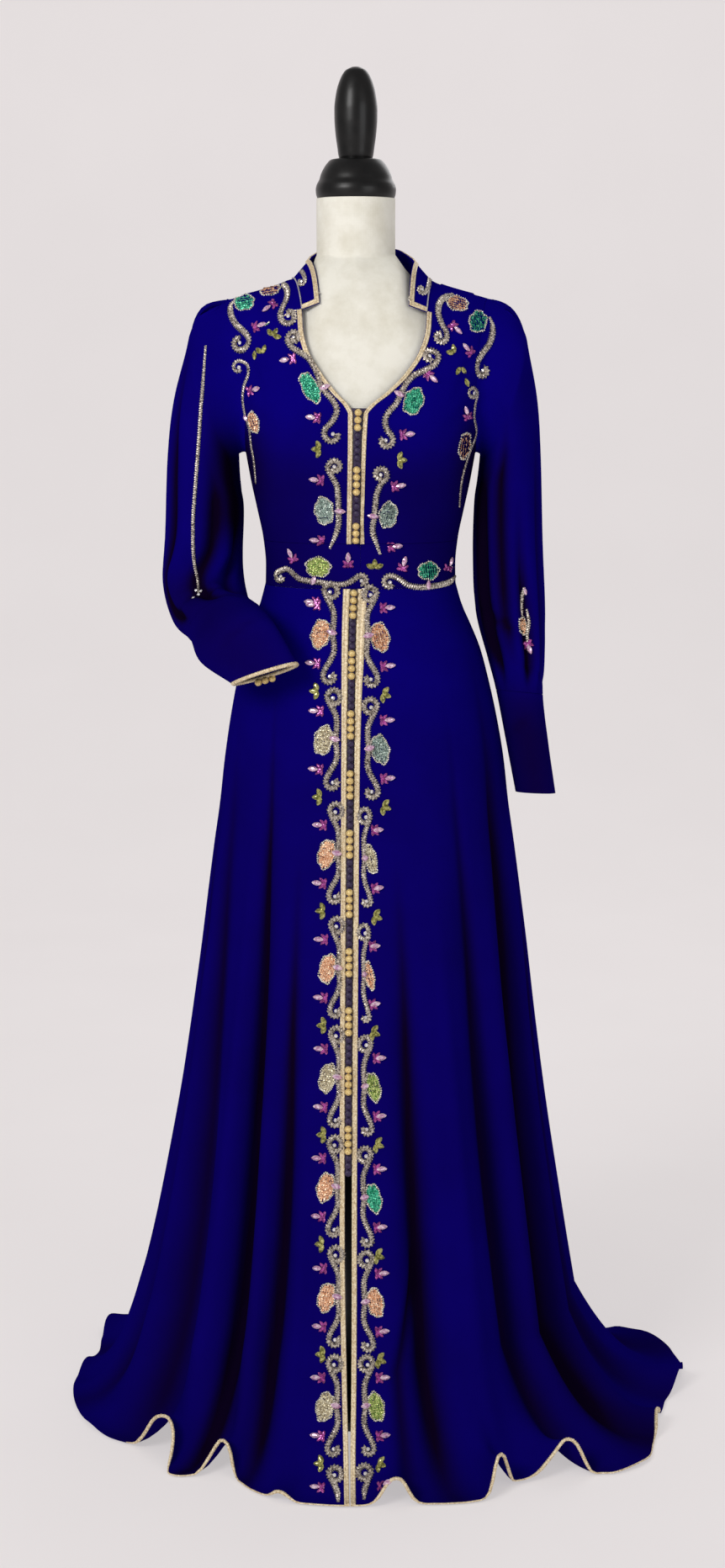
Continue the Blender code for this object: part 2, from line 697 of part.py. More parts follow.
def seam_upright(points, normals):
    """The normals, upright along the shoulder seam, where the two sides of the torso meet."""
    normals[np.abs(points[..., 1]) < 1e-3 * (points[..., 2] > UNDERARM + 0.05)] = (0.0, 0.0, 1.0)
    return normals


def notch_index():
    return 3 + ARMHOLE_ROWS.index(NOTCH_ROW)


def front_panel(side):
    """Grid of one bodice front. Its first two columns bound the braid."""
    rows = bodice_rows()
    shares = np.array([0.0, 0.16, 0.34, 0.52, 0.70, 0.86, 1.0])
    v = rows[:, None] * np.ones(len(shares) + 1)
    step = 1e-3
    edge = panel_points(side, np.zeros(len(rows)), rows)
    near = panel_points(side, np.full(len(rows), step), rows)
    first = BRAID_WIDTH * step / np.linalg.norm(near - edge, axis=-1)
    u = np.concatenate([np.zeros((len(rows), 1)), first[:, None] + (1 - first[:, None]) * shares], axis=1)
    points, normals = grid_of(lambda a, b: panel_points(side, a, b), u, v)
    normals = outward(points, normals, np.array([BODICE_CENTRE, 0.0, 1.30]))
    return points - np.array([0.0, SEAM_GAP / 2, 0.0]), seam_upright(points, normals)


def back_panel():
    rows = bodice_rows()
    half = np.array([0.14, 0.28, BACK_NECK_SHARE, 0.60, 0.80, 1.0])
    shares = np.concatenate([-half[::-1], [1e-6], half])
    u, v = np.meshgrid(shares, rows)
    points, normals = grid_of(back_points, u, v)
    normals = outward(points, normals, np.array([BODICE_CENTRE, 0.0, 1.30]))
    return points + np.array([0.0, SEAM_GAP / 2, 0.0]), seam_upright(points, normals)


def make_bodice(blue, gold):
    panels = {}
    for side, name in ((-1, "right"), (1, "left")):
        grid = front_panel(side)
        panels[name] = grid
        wall("bodice_front_" + name, grid, blue)
        cells = np.zeros((grid[0].shape[0] - 1, grid[0].shape[1] - 1), bool)
        cells[: notch_index(), 0] = True
        overlay("bodice_braid_" + name, grid, gold, cells)
    panels["back"] = back_panel()
    wall("bodice_back", panels["back"], blue)
    return panels


def make_waistband(blue):
    angles = np.linspace(0.0, 360.0, 35)
    angles[0], angles[-1] = 0.15, 359.85
    heights = np.array([BAND_BOTTOM, 1.134, BAND_TOP])
    u, v = np.meshgrid(angles, heights)
    points, normals = grid_of(torso, u, v)
    normals = outward(points, normals, np.array([BODICE_CENTRE, 0.0, 1.13]))
    wall("waistband", (points, normals), blue)


def make_skirt(blue, gold):
    heights = np.array([SKIRT_TOP, 1.070, 1.015, 0.93, 0.81, 0.67, 0.52, 0.36, 0.23, SKIRT_BREAK])
    downs = np.concatenate([skirt_down(heights), [1.25, 1.52, 1.78, 2.0]])
    height_of = SKIRT_TOP + (SKIRT_BREAK - SKIRT_TOP) * np.minimum(downs, 1.0)
    grids = {}
    for side, name in ((-1, "right"), (1, "left")):
        closing = np.where(downs > 1.0, SKIRT_BREAK * (2.0 - downs), height_of)
        x = column(CLOSING_LINE, 1, closing) + side * column(CLOSING_LINE, 2, closing)
        edge = solve_edge(x, downs)
        first = edge + side * np.degrees(BRAID_WIDTH / np.linalg.norm(skirt(edge, downs)[:, :2], axis=-1))
        shares = np.interp(np.linspace(0.0, 1.0, 36), COLUMN_STOPS, COLUMN_SHARES)
        angles = first[:, None] + (side * SIDE_SEAM - side * 0.03 - first[:, None]) * shares
        angles = np.concatenate([edge[:, None], angles], axis=1)
        grids[name] = (angles, np.broadcast_to(downs[:, None], angles.shape))
    back = np.linspace(SIDE_SEAM + 0.03, 360.0 - SIDE_SEAM - 0.03, 31)
    grids["back"] = np.meshgrid(back, downs)
    panels = {}
    for name, (angles, down) in grids.items():
        points, normals = grid_of(skirt, angles, down)
        normals = outward(points, normals, np.array([0.0, 0.0, 0.3]))
        panels[name] = (points, normals)
        full = "skirt_back" if name == "back" else "skirt_front_" + name
        wall(full, panels[name], blue)
        onward = np.cross(normals[-1], np.gradient(points[-1], axis=0))
        onward /= np.linalg.norm(onward, axis=-1, keepdims=True)
        onward *= np.sign(((points[-1] - points[-2]) * onward).sum(axis=-1, keepdims=True))
        under = points[-1] - normals[-1] * CLOTH
        edging("hem_piping" + full[5:], points[-1], under, onward, gold, gap=HEM_GAP)
        if name != "back":
            cells = np.zeros((points.shape[0] - 1, points.shape[1] - 1), bool)
            cells[:, 0] = True
            overlay("skirt_braid_" + name, panels[name], gold, cells)
    return panels


def solve_edge(x, downs):
    """The angle at which the front of the skirt has this x, for each row."""
    low, high = np.full(len(x), -30.0), np.full(len(x), 30.0)
    for _ in range(40):
        middle = (low + high) / 2
        over = skirt(middle, downs)[:, 0] > x
        high, low = np.where(over, middle, high), np.where(over, low, middle)
    return (low + high) / 2


# The sleeves


def armhole_loop(side, panels):
    """Points, normals and onward directions of the panels' rim round an armhole, up the front first."""
    front, back = panels["right" if side < 0 else "left"], panels["back"]
    start = len(bodice_rows()) - len(ARMHOLE_ROWS)
    edge, near = (0, 1) if side < 0 else (-1, -2)
    up = [(front[0][r, -1], front[1][r, -1], front[0][r, -1] - front[0][r, -2])
          for r in range(start, len(front[0]))]
    down = [(back[0][r, edge], back[1][r, edge], back[0][r, edge] - back[0][r, near])
            for r in range(len(back[0]) - 1, start - 1, -1)]
    points, normals, away = (np.array([item[k] for item in up + down]) for k in range(3))
    tangent = np.gradient(points, axis=0)
    onward = np.cross(tangent, normals)
    onward *= np.sign((onward * away).sum(axis=-1, keepdims=True))
    onward[0] = onward[-1] = (0.0, 0.0, 1.0)
    onward /= np.linalg.norm(onward, axis=-1, keepdims=True)
    return points, normals, onward


def section_rings(table, turns):
    """Ellipse rings through a sleeve's sections. Turn 0 is at the inner point, the front comes first."""
    rows = np.array(table)
    outer, inner, depth = rows[:, 0:3], rows[:, 3:6], rows[:, 6]
    middle, half = (outer + inner) / 2, (outer - inner) / 2
    across = np.cross(np.gradient(middle, axis=0), half)
    across /= np.linalg.norm(across, axis=-1, keepdims=True)
    across *= -np.sign(across[0, 1])
    sideways, ahead = np.cos(turns)[None, :, None], np.sin(turns)[None, :, None]
    return middle[:, None] - half[:, None] * sideways + (across * depth[:, None])[:, None] * ahead


def ring_normals(rings):
    """Outward normals of a tube given as rings of points, from the points themselves."""
    around = np.roll(rings, -1, axis=1) - np.roll(rings, 1, axis=1)
    along = np.gradient(rings, axis=0)
    normals = np.cross(around, along)
    normals /= np.linalg.norm(normals, axis=-1, keepdims=True)
    return outward(rings, normals, rings.mean(axis=1, keepdims=True))


def densify(rings, extra):
    """Smooth rings between the given ones, extra values from each ring on."""
    at = np.concatenate([np.linspace(i, i + 1, n + 1)[:-1] for i, n in enumerate(extra)] + [[len(rings) - 1]])
    out = np.empty((len(at),) + rings.shape[1:])
    numbers = np.arange(len(rings))
    for p in range(rings.shape[1]):
        for k in range(3):
            out[:, p, k] = hermite(numbers, rings[:, p, k], at)
    return out


def hermite(xs, ys, at):
    slope = np.gradient(ys)
    k = np.clip(at.astype(int), 0, len(xs) - 2)
    f = at - k
    return (
        ys[k] * (1 + 2 * f) * (1 - f) ** 2
        + ys[k + 1] * f * f * (3 - 2 * f)
        + slope[k] * f * (1 - f) ** 2
        - slope[k + 1] * f * f * (1 - f)
    )


def sleeve_tube(side, panels, table):
    """Rings of outer points from the armhole to the wrist, and the inner points of the first ring."""
    points, normals, onward = armhole_loop(side, panels)
    start = points + onward * SEAM_GAP
    steps = np.linalg.norm(np.diff(np.concatenate([start, start[:1]]), axis=0), axis=1)
    half = len(ARMHOLE_ROWS)
    share = np.concatenate([[0.0], np.cumsum(steps)[:-1]])
    front = share[:half] / share[half - 1] * math.pi
    behind = (share[half:] - share[half]) / (share[-1] - share[half]) * math.pi + math.pi
    spread = 0.02
    turns = np.concatenate([front * (1 - spread) + spread / 2, behind * (1 - spread) + math.pi * spread])
    rings = section_rings(table, turns)
    first, leave = rings[0], (rings[1] - rings[0]) * 0.6
    reach = np.linalg.norm(first - start, axis=-1, keepdims=True)
    bridge = [
        start * (1 + 2 * f) * (1 - f) ** 2
        + first * f * f * (3 - 2 * f)
        + onward * reach * 1.1 * f * (1 - f) ** 2
        - leave * f * f * (1 - f)
        for f in (0.18, 0.55)
    ]
    tube = np.concatenate([start[None], np.stack(bridge), densify(rings, SLEEVE_STEPS)])
    return tube, start - normals * CLOTH


def make_sleeve(side, name, panels, table, blue, gold):
    tube, start_inner = sleeve_tube(side, panels, table)
    shell = ring_normals(tube)
    inner = tube - shell * CLOTH
    inner[0] = start_inner
    seam = 3 + sum(SLEEVE_STEPS[:CUFF_SECTION])
    slab("sleeve_" + name, inner[: seam + 1], tube[: seam + 1], blue, closed=True)
    onward = tube[seam + 1] - tube[seam]
    shift = onward / np.linalg.norm(onward, axis=-1, keepdims=True) * SEAM_GAP
    cuff_outer, cuff_inner = tube[seam:].copy(), inner[seam:].copy()
    cuff_outer[0] += shift
    cuff_inner[0] += shift
    slab("cuff_" + name, cuff_inner, cuff_outer, blue, closed=True)
    onward = tube[-1] - tube[-2]
    onward = onward - shell[-1] * (onward * shell[-1]).sum(axis=-1, keepdims=True)
    onward /= np.linalg.norm(onward, axis=-1, keepdims=True)
    edging("cuff_edge_" + name, tube[-1], inner[-1], onward, gold, closed=True)
    return tube, shell, onward


# The collar


def make_collar(panels, blue, gold):
    """The standing collar, sewn to the neck edge from notch to notch round the back."""
    notch = notch_index()
    right, left, back = panels["right"], panels["left"], panels["back"]
    half = back[0].shape[1] // 2
    middle = list(range(half - 3, half + 4))
    seam = np.concatenate([right[0][notch:-1, 0], back[0][-1, middle], left[0][notch:-1, 0][::-1]])
    normals = np.concatenate([right[1][notch:-1, 0], back[1][-1, middle], left[1][notch:-1, 0][::-1]])
    inside = np.concatenate([
        right[0][notch:-1, 0] - right[0][notch:-1, 1],
        back[0][-1, middle] - back[0][-2, middle],
        (left[0][notch:-1, 0] - left[0][notch:-1, 1])[::-1],
    ])
    onward = np.cross(np.gradient(seam, axis=0), normals)
    onward *= np.sign((onward * inside).sum(axis=-1, keepdims=True))
    onward /= np.linalg.norm(onward, axis=-1, keepdims=True)
    base = seam + onward * SEAM_GAP * 2
    steps = np.concatenate([[0.0], np.cumsum(np.linalg.norm(np.diff(seam, axis=0), axis=1))])
    share = steps / steps[-1]
    high, lean = column(COLLAR, 1, share), column(COLLAR, 2, share)
    behind = np.where(base[:, 1] > 0, -base[:, 1], -0.024)
    toward = np.stack([BODICE_CENTRE - base[:, 0], behind, np.zeros(len(base))], axis=1)
    toward /= np.linalg.norm(toward, axis=-1, keepdims=True)
    rise = toward * lean[:, None] + np.array([0.0, 0.0, 1.0]) * np.sqrt(1 - lean[:, None] ** 2)
    levels = [0 * high, 0 * high + COLLAR_PIPING, high * 0.45, high - BRAID_WIDTH, high]
    outer = np.stack([base + rise * level[:, None] for level in levels])
    around, along = np.gradient(outer, axis=1), np.gradient(outer, axis=0)
    shell = np.cross(around, along)
    shell /= np.linalg.norm(shell, axis=-1, keepdims=True)
    shell *= np.sign((shell[0] * normals).sum(axis=-1).mean())
    inner = outer - shell * COLLAR_WALL
    inner[0] = outer[0] - normals * COLLAR_WALL
    slab("collar", inner, outer, blue)
    cells = np.zeros((outer.shape[0] - 1, outer.shape[1] - 1), bool)
    cells[-1, :] = cells[1:, 0] = cells[1:, -1] = True
    overlay("collar_braid", (outer, shell), gold, cells)
    cells = np.zeros_like(cells)
    cells[0, 1:-1] = True
    overlay("collar_piping", (outer, shell), gold, cells, thickness=0.0012)


# The closing: loop strips and knotted buttons


def closing_frame(panel_right, panel_left, heights):
    """Points, outward directions and half gaps midway between the two front edges at the heights given."""
    right, left = panel_right[0][:, 0], panel_left[0][:, 0]
    order = np.argsort(right[:, 2])
    r = np.stack([np.interp(heights, right[order, 2], right[order, k]) for k in range(3)], 1)
    order = np.argsort(left[:, 2])
    w = np.stack([np.interp(heights, left[order, 2], left[order, k]) for k in range(3)], 1)
    middle, half = (r + w) / 2, (w - r) / 2
    along = np.gradient(middle, axis=0)
    out = np.cross(half, along)
    out /= np.linalg.norm(out, axis=-1, keepdims=True)
    out *= -np.sign(out[:, 1:2])
    return middle, out, half


def make_strip(name, panel_right, panel_left, low, high, dark):
    rows = np.concatenate([panel_right[0][:, 0, 2], panel_left[0][:, 0, 2]])
    heights = np.array([h for h in sorted(set(rows.round(4))) if low < h < high])
    heights = np.concatenate([[low], heights, [high]])
    middle, out, half = closing_frame(panel_right, panel_left, heights)
    sides = np.array([-1.0, -0.35, 0.35, 1.0]) * STRIP_SHARE
    bulge = np.array([0.0, STRIP_SWELL, STRIP_SWELL, 0.0])
    outer = middle[:, None] + half[:, None] * sides[None, :, None] + out[:, None] * bulge[None, :, None]
    inner = outer - out[:, None] * STRIP_WALL
    slab(name, inner, outer, dark)


def knot_profile(count):
    profile = []
    for k in range(count):
        foot = k * KNOT_PITCH
        profile.append((KNOT_RADIUS * 0.42, foot))
        profile.append((KNOT_RADIUS, foot + KNOT_PITCH * 0.5))
    profile.append((KNOT_RADIUS * 0.42, count * KNOT_PITCH))
    return profile


def make_buttons(name, panel_right, panel_left, top, count, gold):
    """A straight chain of knots that just clears the strip, which curves behind it."""
    shares = np.linspace(0.0, 1.0, 9)
    heights = top - count * KNOT_PITCH * (1 - shares)
    middle, out, _ = closing_frame(panel_right, panel_left, heights)
    chord = middle[0] + (middle[-1] - middle[0]) * shares[:, None]
    raised = ((middle - chord) * out).sum(axis=-1).max()
    place = chord + out.mean(axis=0) * (KNOT_RADIUS + STRIP_SWELL + LAY_GAP + raised)
    turned(name, knot_profile(count), place[0], place[-1] - place[0], gold, 6)


def make_cuff_buttons(name, tube, shell, onward, spot, gap, gold):
    """Three knots side by side, just past the edge of the cuff."""
    along = tube[-1][(spot + 1) % len(tube[-1])] - tube[-1][spot]
    along /= np.linalg.norm(along)
    past = onward[spot] * (PIPING_WIDTH + SEAM_GAP + KNOT_RADIUS + gap)
    start = tube[-1][spot] + past - shell[-1][spot] * CLOTH / 2
    turned(name, knot_profile(KNOTS_ON_CUFF), start, along, gold, 6)


def main():
    for old in list(bpy.data.objects):
        bpy.data.objects.remove(old)
    blue = paint("royal_blue_crepe", ROYAL_BLUE, 0.7, 0.0)
    gold = paint("pale_gold_braid", PALE_GOLD, 0.45, 0.6)
    dark = paint("dark_loops", DARK_LOOP, 0.5, 0.0)
    linen = paint("cream_linen", LINEN, 0.9, 0.0)
    black = paint("black_satin_wood", BLACK_WOOD, 0.35, 0.0)
    steel = paint("grey_steel", GREY_STEEL, 0.4, 1.0)
    make_form(linen, black, steel)
    panels = make_bodice(blue, gold)
    make_waistband(blue)
    skirts = make_skirt(blue, gold)
    make_collar(panels, blue, gold)
    for side, name, table, spot, gap in CUFF_KNOTS:
        tube, shell, onward = make_sleeve(side, name, panels, table, blue, gold)
        make_cuff_buttons("cuff_buttons_" + name, tube, shell, onward, spot, gap, gold)
    make_strip("loop_strip_bodice", panels["right"], panels["left"], BAND_TOP + 0.001, V_POINT, dark)
    make_strip("loop_strip_skirt", skirts["right"], skirts["left"], SLIT_TOP, SKIRT_TOP - 0.0005, dark)
    for number, (top, count) in enumerate(BODICE_GROUPS, 1):
        make_buttons(f"bodice_buttons_{number}", panels["right"], panels["left"], top, count, gold)
    for number in range(SKIRT_GROUPS):
        top = SKIRT_GROUP_TOP - SKIRT_GROUP_PITCH * number
        name = f"skirt_buttons_{number + 1}"
        make_buttons(name, skirts["right"], skirts["left"], top, KNOTS_IN_SKIRT_GROUP, gold)


main()
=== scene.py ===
"""Looks of the kaftan on its dress form: cloth, trims, embroidery, materials, light and camera.

Metres in the row frame: +Z up, the kaftan's front faces -Y, the wearer's right side is at -X. The
tables and the surfaces are the part's own, so every piece lies on its solid's form.
"""

import math
import random

import bpy
import numpy as np
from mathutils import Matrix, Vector
from mathutils.bvhtree import BVHTree


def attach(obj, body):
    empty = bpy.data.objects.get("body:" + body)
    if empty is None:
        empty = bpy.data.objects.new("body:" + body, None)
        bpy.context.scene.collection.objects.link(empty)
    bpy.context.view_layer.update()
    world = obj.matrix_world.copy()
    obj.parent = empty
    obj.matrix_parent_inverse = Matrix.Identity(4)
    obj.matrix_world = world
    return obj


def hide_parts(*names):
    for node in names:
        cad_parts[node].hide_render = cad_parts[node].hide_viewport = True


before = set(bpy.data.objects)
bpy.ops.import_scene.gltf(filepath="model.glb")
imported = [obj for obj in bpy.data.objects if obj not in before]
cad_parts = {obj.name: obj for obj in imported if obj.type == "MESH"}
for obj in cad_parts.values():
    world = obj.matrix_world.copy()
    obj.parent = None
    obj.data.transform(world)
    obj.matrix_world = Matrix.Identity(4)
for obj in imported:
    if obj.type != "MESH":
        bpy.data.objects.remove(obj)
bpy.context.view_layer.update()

# Driving dimensions
CLOTH = 0.0020
SEAM_GAP = 0.0004
BRAID_WIDTH = 0.0065

BAND_BOTTOM = 1.1050
BAND_TOP = 1.1620
SHOULDER_REACH = 0.1680
SHOULDER_ROUND_FRONT = 0.100
SHOULDER_ROUND_BACK = 0.090
UNDERARM = 1.2720
FRONT_BULGE = 19.0
BACK_BULGE = 14.0
BACK_NECK_RIGHT = -0.0825
BACK_NECK_LEFT = 0.0985
BODICE_CENTRE = 0.0060
CHEST = np.array([BODICE_CENTRE, 0.0, 1.30])

SKIRT_TOP = BAND_BOTTOM - SEAM_GAP
SKIRT_BREAK = 0.1360
HEM_HEIGHT = 0.0042
SIDE_SEAM = 95.0
SEAM_TURN = 0.004
SKIRT_MIDDLE = np.array([0.0, 0.0, 0.3])

NECK_RADIUS = 0.0505
NECK_TOP = 1.5965
FORM_BOTTOM = 0.8600
FORM_CLEARANCE = 0.0025
FORM_EDGE = 0.8750
FORM_SIDES = 120
TURNED_SIDES = 96

KNOT_PITCH = 0.0092
SKIRT_GROUPS = 10
SKIRT_GROUP_TOP = 1.1030
SKIRT_GROUP_PITCH = 0.0738
KNOTS_IN_SKIRT_GROUP = 4
KNOTS_ON_CUFF = 3

# The groups of knots and of dark lobes down the bodice: height of the group's top, number in it
BODICE_GROUPS = ((1.332, 3), (1.262, 4), (1.191, 3))
LOOP_GROUPS = ((1.304, 4), (1.2246, 3))

# Sections of the torso as the cloth lies on it: height, half width, front depth, back depth
BODY = (
    (0.86, 0.149, 0.112, 0.113), (0.95, 0.155, 0.115, 0.118), (1.0, 0.15, 0.112, 0.111),
    (1.06, 0.135, 0.106, 0.098), (1.105, 0.1245, 0.101, 0.0885), (1.13, 0.124, 0.1, 0.088),
    (1.163, 0.127, 0.103, 0.089), (1.2, 0.1345, 0.11, 0.093), (1.24, 0.143, 0.118, 0.098),
    (1.28, 0.15, 0.122, 0.101), (1.32, 0.156, 0.12, 0.103), (1.36, 0.162, 0.113, 0.103),
    (1.4, 0.168, 0.104, 0.101), (1.44, 0.174, 0.097, 0.097), (1.53, 0.176, 0.09, 0.1),
)
BODY_POWER = 2.3

# The shoulder line seen from the front: distance from the middle, height of the cloth
SHOULDER_LINE = (
    (0.0, 1.52), (0.05, 1.514), (0.08, 1.5), (0.1, 1.4895), (0.13, 1.48), (0.155, 1.4735), (0.17, 1.469),
    (0.2, 1.46),
)

# The form's own shoulder line: distance from the middle, height
FORM_SHOULDER = (
    (0.0, 1.543), (0.05, 1.526), (0.06, 1.508), (0.07, 1.494), (0.085, 1.4865), (0.1, 1.483),
    (0.13, 1.4753), (0.155, 1.4688), (0.17, 1.464), (0.2, 1.455),
)

# The front edge of each bodice front: height, x of the right front's edge, x of the left front's edge
FRONT_EDGE = (
    (1.163, -0.0055, 0.0052), (1.325, -0.0035, 0.0095), (1.334, -0.0075, 0.016), (1.35, -0.023, 0.037),
    (1.373, -0.0425, 0.062), (1.398, -0.059, 0.08), (1.42, -0.0655, 0.0875), (1.441, -0.068, 0.09),
    (1.47, -0.074, 0.094), (1.496, -0.0825, 0.0985),
)
NECK_POINT_RIGHT = 1.4960
NECK_POINT_LEFT = 1.4930
BACK_NECK_HEIGHT = 1.5020

# The line down the middle of the fronts: height, x, half the gap between the two edges
CLOSING_LINE = (
    (0.0, -0.0068, 0.0006), (0.08, -0.0078, 0.0012), (0.14, -0.0085, 0.003), (0.3, -0.0095, 0.0044),
    (0.7, -0.0078, 0.0045), (1.05, -0.0045, 0.0046), (1.105, -0.0022, 0.0046),
)

# Sections of the skirt: height, half width, front depth, back depth, centre x
SKIRT = (
    (0.136, 0.3009, 0.303, 0.345, 0.001), (0.173, 0.2923, 0.293, 0.33, 0.0033),
    (0.293, 0.2689, 0.265, 0.292, 0.0068), (0.411, 0.2486, 0.242, 0.262, 0.0085),
    (0.528, 0.2314, 0.222, 0.237, 0.0096), (0.644, 0.2155, 0.204, 0.214, 0.0108),
    (0.759, 0.1997, 0.186, 0.193, 0.0107), (0.816, 0.1913, 0.177, 0.182, 0.0107),
    (0.871, 0.185, 0.168, 0.171, 0.0107), (0.927, 0.176, 0.156, 0.158, 0.01),
    (0.98, 0.165, 0.143, 0.143, 0.009), (1.02, 0.155, 0.132, 0.129, 0.008),
    (1.047, 0.145, 0.123, 0.117, 0.007), (1.078, 0.132, 0.111, 0.101, 0.0063),
    (1.105, 0.1245, 0.101, 0.0885, 0.006),
)

# Folds that run down the skirt: angle at the top, angle at the floor, height where it starts,
# depth at the floor, half width in degrees
FOLDS = (
    (-41, -34.5, 0.96, 0.034, 4.6), (-24, -23, 0.74, 0.024, 4.6), (-66, -54, 0.98, 0.026, 6.5),
    (-80, -78, 0.85, 0.026, 5.5), (-104, -106, 0.96, 0.03, 6.5), (-126, -129, 0.9, 0.034, 7),
    (-149, -152, 1, 0.032, 7.5), (-171, -173, 0.86, 0.03, 6.5), (12, 18, 0.78, 0.028, 5),
    (36, 45, 0.94, 0.03, 5.5), (63, 62.5, 1.02, 0.042, 7), (81, 80, 0.8, 0.02, 5),
    (103, 104, 0.94, 0.032, 6.5), (124, 127, 0.98, 0.034, 7), (146, 149, 0.88, 0.03, 6.5),
    (167, 169, 0.95, 0.032, 6.5),
)

# Waves of the hem that stand off the floor: angle, half width in degrees, height
ARCHES = (
    (-13.5, 2.2, 0.013), (-29.3, 2.5, 0.036), (-46.3, 4.3, 0.052), (-97, 4, 0.008), (-119, 5, 0.01),
    (-139, 5, 0.016), (-162, 5, 0.028), (7.2, 3, 0.033), (26.8, 2.4, 0.046), (39.6, 4, 0.044),
    (68, 3.6, 0.02), (88, 4, 0.03), (110, 5, 0.02), (137, 5, 0.018), (158, 5, 0.03), (179, 4.5, 0.024),
)

# The hem on the floor seen from above: angle of the fall above it, angle where it lands, distance
# from the origin. Where the second angle turns back, the hem curls under itself
HEM = (
    (-180, -180, 0.5), (-168, -168, 0.488), (-156, -156, 0.44), (-146, -146, 0.402),
    (-138, -138, 0.388), (-130, -130, 0.4), (-122, -122, 0.42), (-113, -113, 0.398),
    (-104, -104, 0.378), (-95, -95, 0.384), (-86, -86, 0.389), (-73, -73, 0.387), (-60, -60, 0.378),
    (-53, -53, 0.362), (-49, -48.4, 0.354), (-46, -44, 0.35), (-43.6, -41.2, 0.356),
    (-41.4, -39.9, 0.367), (-39.4, -38.9, 0.379), (-37.4, -37.6, 0.387), (-35.4, -36, 0.386),
    (-33.8, -34.1, 0.376), (-32.5, -32.5, 0.366), (-30, -30.5, 0.338), (-27.5, -27.6, 0.342),
    (-24, -24, 0.36), (-17.5, -17.5, 0.385), (-10, -10, 0.398), (-2, -2, 0.4), (8, 8, 0.396),
    (14, 14, 0.406), (22, 22, 0.414), (27, 27, 0.396), (31, 30.8, 0.391), (35, 36, 0.394),
    (37.6, 40, 0.398), (39.6, 41.3, 0.403), (41.6, 42.6, 0.411), (43.8, 43.8, 0.421), (46, 45.3, 0.432),
    (49, 47.6, 0.448), (54, 54, 0.458), (61, 61, 0.442), (70, 70, 0.424), (79, 79, 0.424),
    (87, 87, 0.444), (95, 95, 0.456), (103, 103, 0.458), (112, 112, 0.408), (120, 120, 0.384),
    (130, 130, 0.372), (142, 142, 0.392), (155, 155, 0.44), (168, 168, 0.488), (180, 180, 0.5),
)

# Sections of each sleeve below the armhole: outer point, inner point, half depth across them
SLEEVE_RIGHT = (
    (-0.213, 0.005, 1.42, -0.156, 0.005, 1.266, 0.066),
    (-0.2345, 0.01, 1.347, -0.152, 0.01, 1.235, 0.064),
    (-0.2455, 0.018, 1.275, -0.147, 0.018, 1.202, 0.06),
    (-0.251, 0.034, 1.18, -0.15, 0.024, 1.145, 0.056), (-0.25, 0.06, 1.098, -0.152, -0.004, 1.104, 0.05),
    (-0.233, 0.03, 1.04, -0.143, -0.052, 1.092, 0.044),
    (-0.2079, -0.042, 1.0252, -0.1249, -0.107, 1.0863, 0.04),
    (-0.1941, -0.114, 1.0097, -0.1047, -0.16, 1.069, 0.033),
    (-0.1564, -0.142, 0.9885, -0.075, -0.17, 1.0196, 0.023),
)
SLEEVE_LEFT = (
    (0.219, 0.005, 1.42, 0.164, 0.005, 1.266, 0.066), (0.2345, 0.008, 1.347, 0.159, 0.008, 1.237, 0.063),
    (0.241, 0.01, 1.275, 0.1545, 0.01, 1.208, 0.06), (0.245, 0.006, 1.16, 0.153, 0.006, 1.14, 0.057),
    (0.249, 0.0, 1.07, 0.157, 0.0, 1.068, 0.053), (0.248, -0.012, 1.0, 0.173, -0.012, 1.007, 0.043),
    (0.2455, -0.018, 0.959, 0.184, -0.018, 0.965, 0.031),
    (0.253, -0.026, 0.895, 0.197, -0.026, 0.899, 0.028),
    (0.2627, -0.032, 0.83, 0.21, -0.032, 0.832, 0.025),
)
# The section at which each sleeve is sewn to its cuff, counted from 0
CUFF_SECTION = 6

# Where the collar starts, as a share of the way from the underarm to the shoulder seam, and the share
# of the back that is neck
NOTCH_ROW = 0.745
BACK_NECK_SHARE = 0.42

# The collar along its seam: share of the way from the right notch, height, lean towards the neck
COLLAR = (
    (0.0, 0.024, 0.95), (0.12, 0.029, 0.8), (0.28, 0.034, 0.55), (0.4, 0.035, 0.2), (0.5, 0.036, 0.06),
    (0.6, 0.035, 0.2), (0.72, 0.034, 0.55), (0.88, 0.029, 0.8), (1.0, 0.024, 0.95),
)

# Turned profiles: radius, height
CAP_PROFILE = (
    (0.0495, 1.597), (0.051, 1.602), (0.0515, 1.6075), (0.0505, 1.613), (0.047, 1.62), (0.045, 1.6265),
    (0.042, 1.633), (0.0365, 1.641), (0.032, 1.645), (0.026, 1.6462),
)
FINIAL_PROFILE = (
    (0.0212, 1.6466), (0.0222, 1.65), (0.0238, 1.661), (0.026, 1.677), (0.0274, 1.696), (0.0275, 1.708),
    (0.0255, 1.726), (0.0212, 1.742), (0.013, 1.756), (0.005, 1.76),
)


def cubic(one, two, leave, arrive, f):
    """The value a share f of the way from one to two, with the slopes at which it leaves and arrives."""
    return (
        one * (1 + 2 * f) * (1 - f) ** 2 + two * f * f * (3 - 2 * f)
        + leave * f * (1 - f) ** 2 - arrive * f * f * (1 - f)
    )


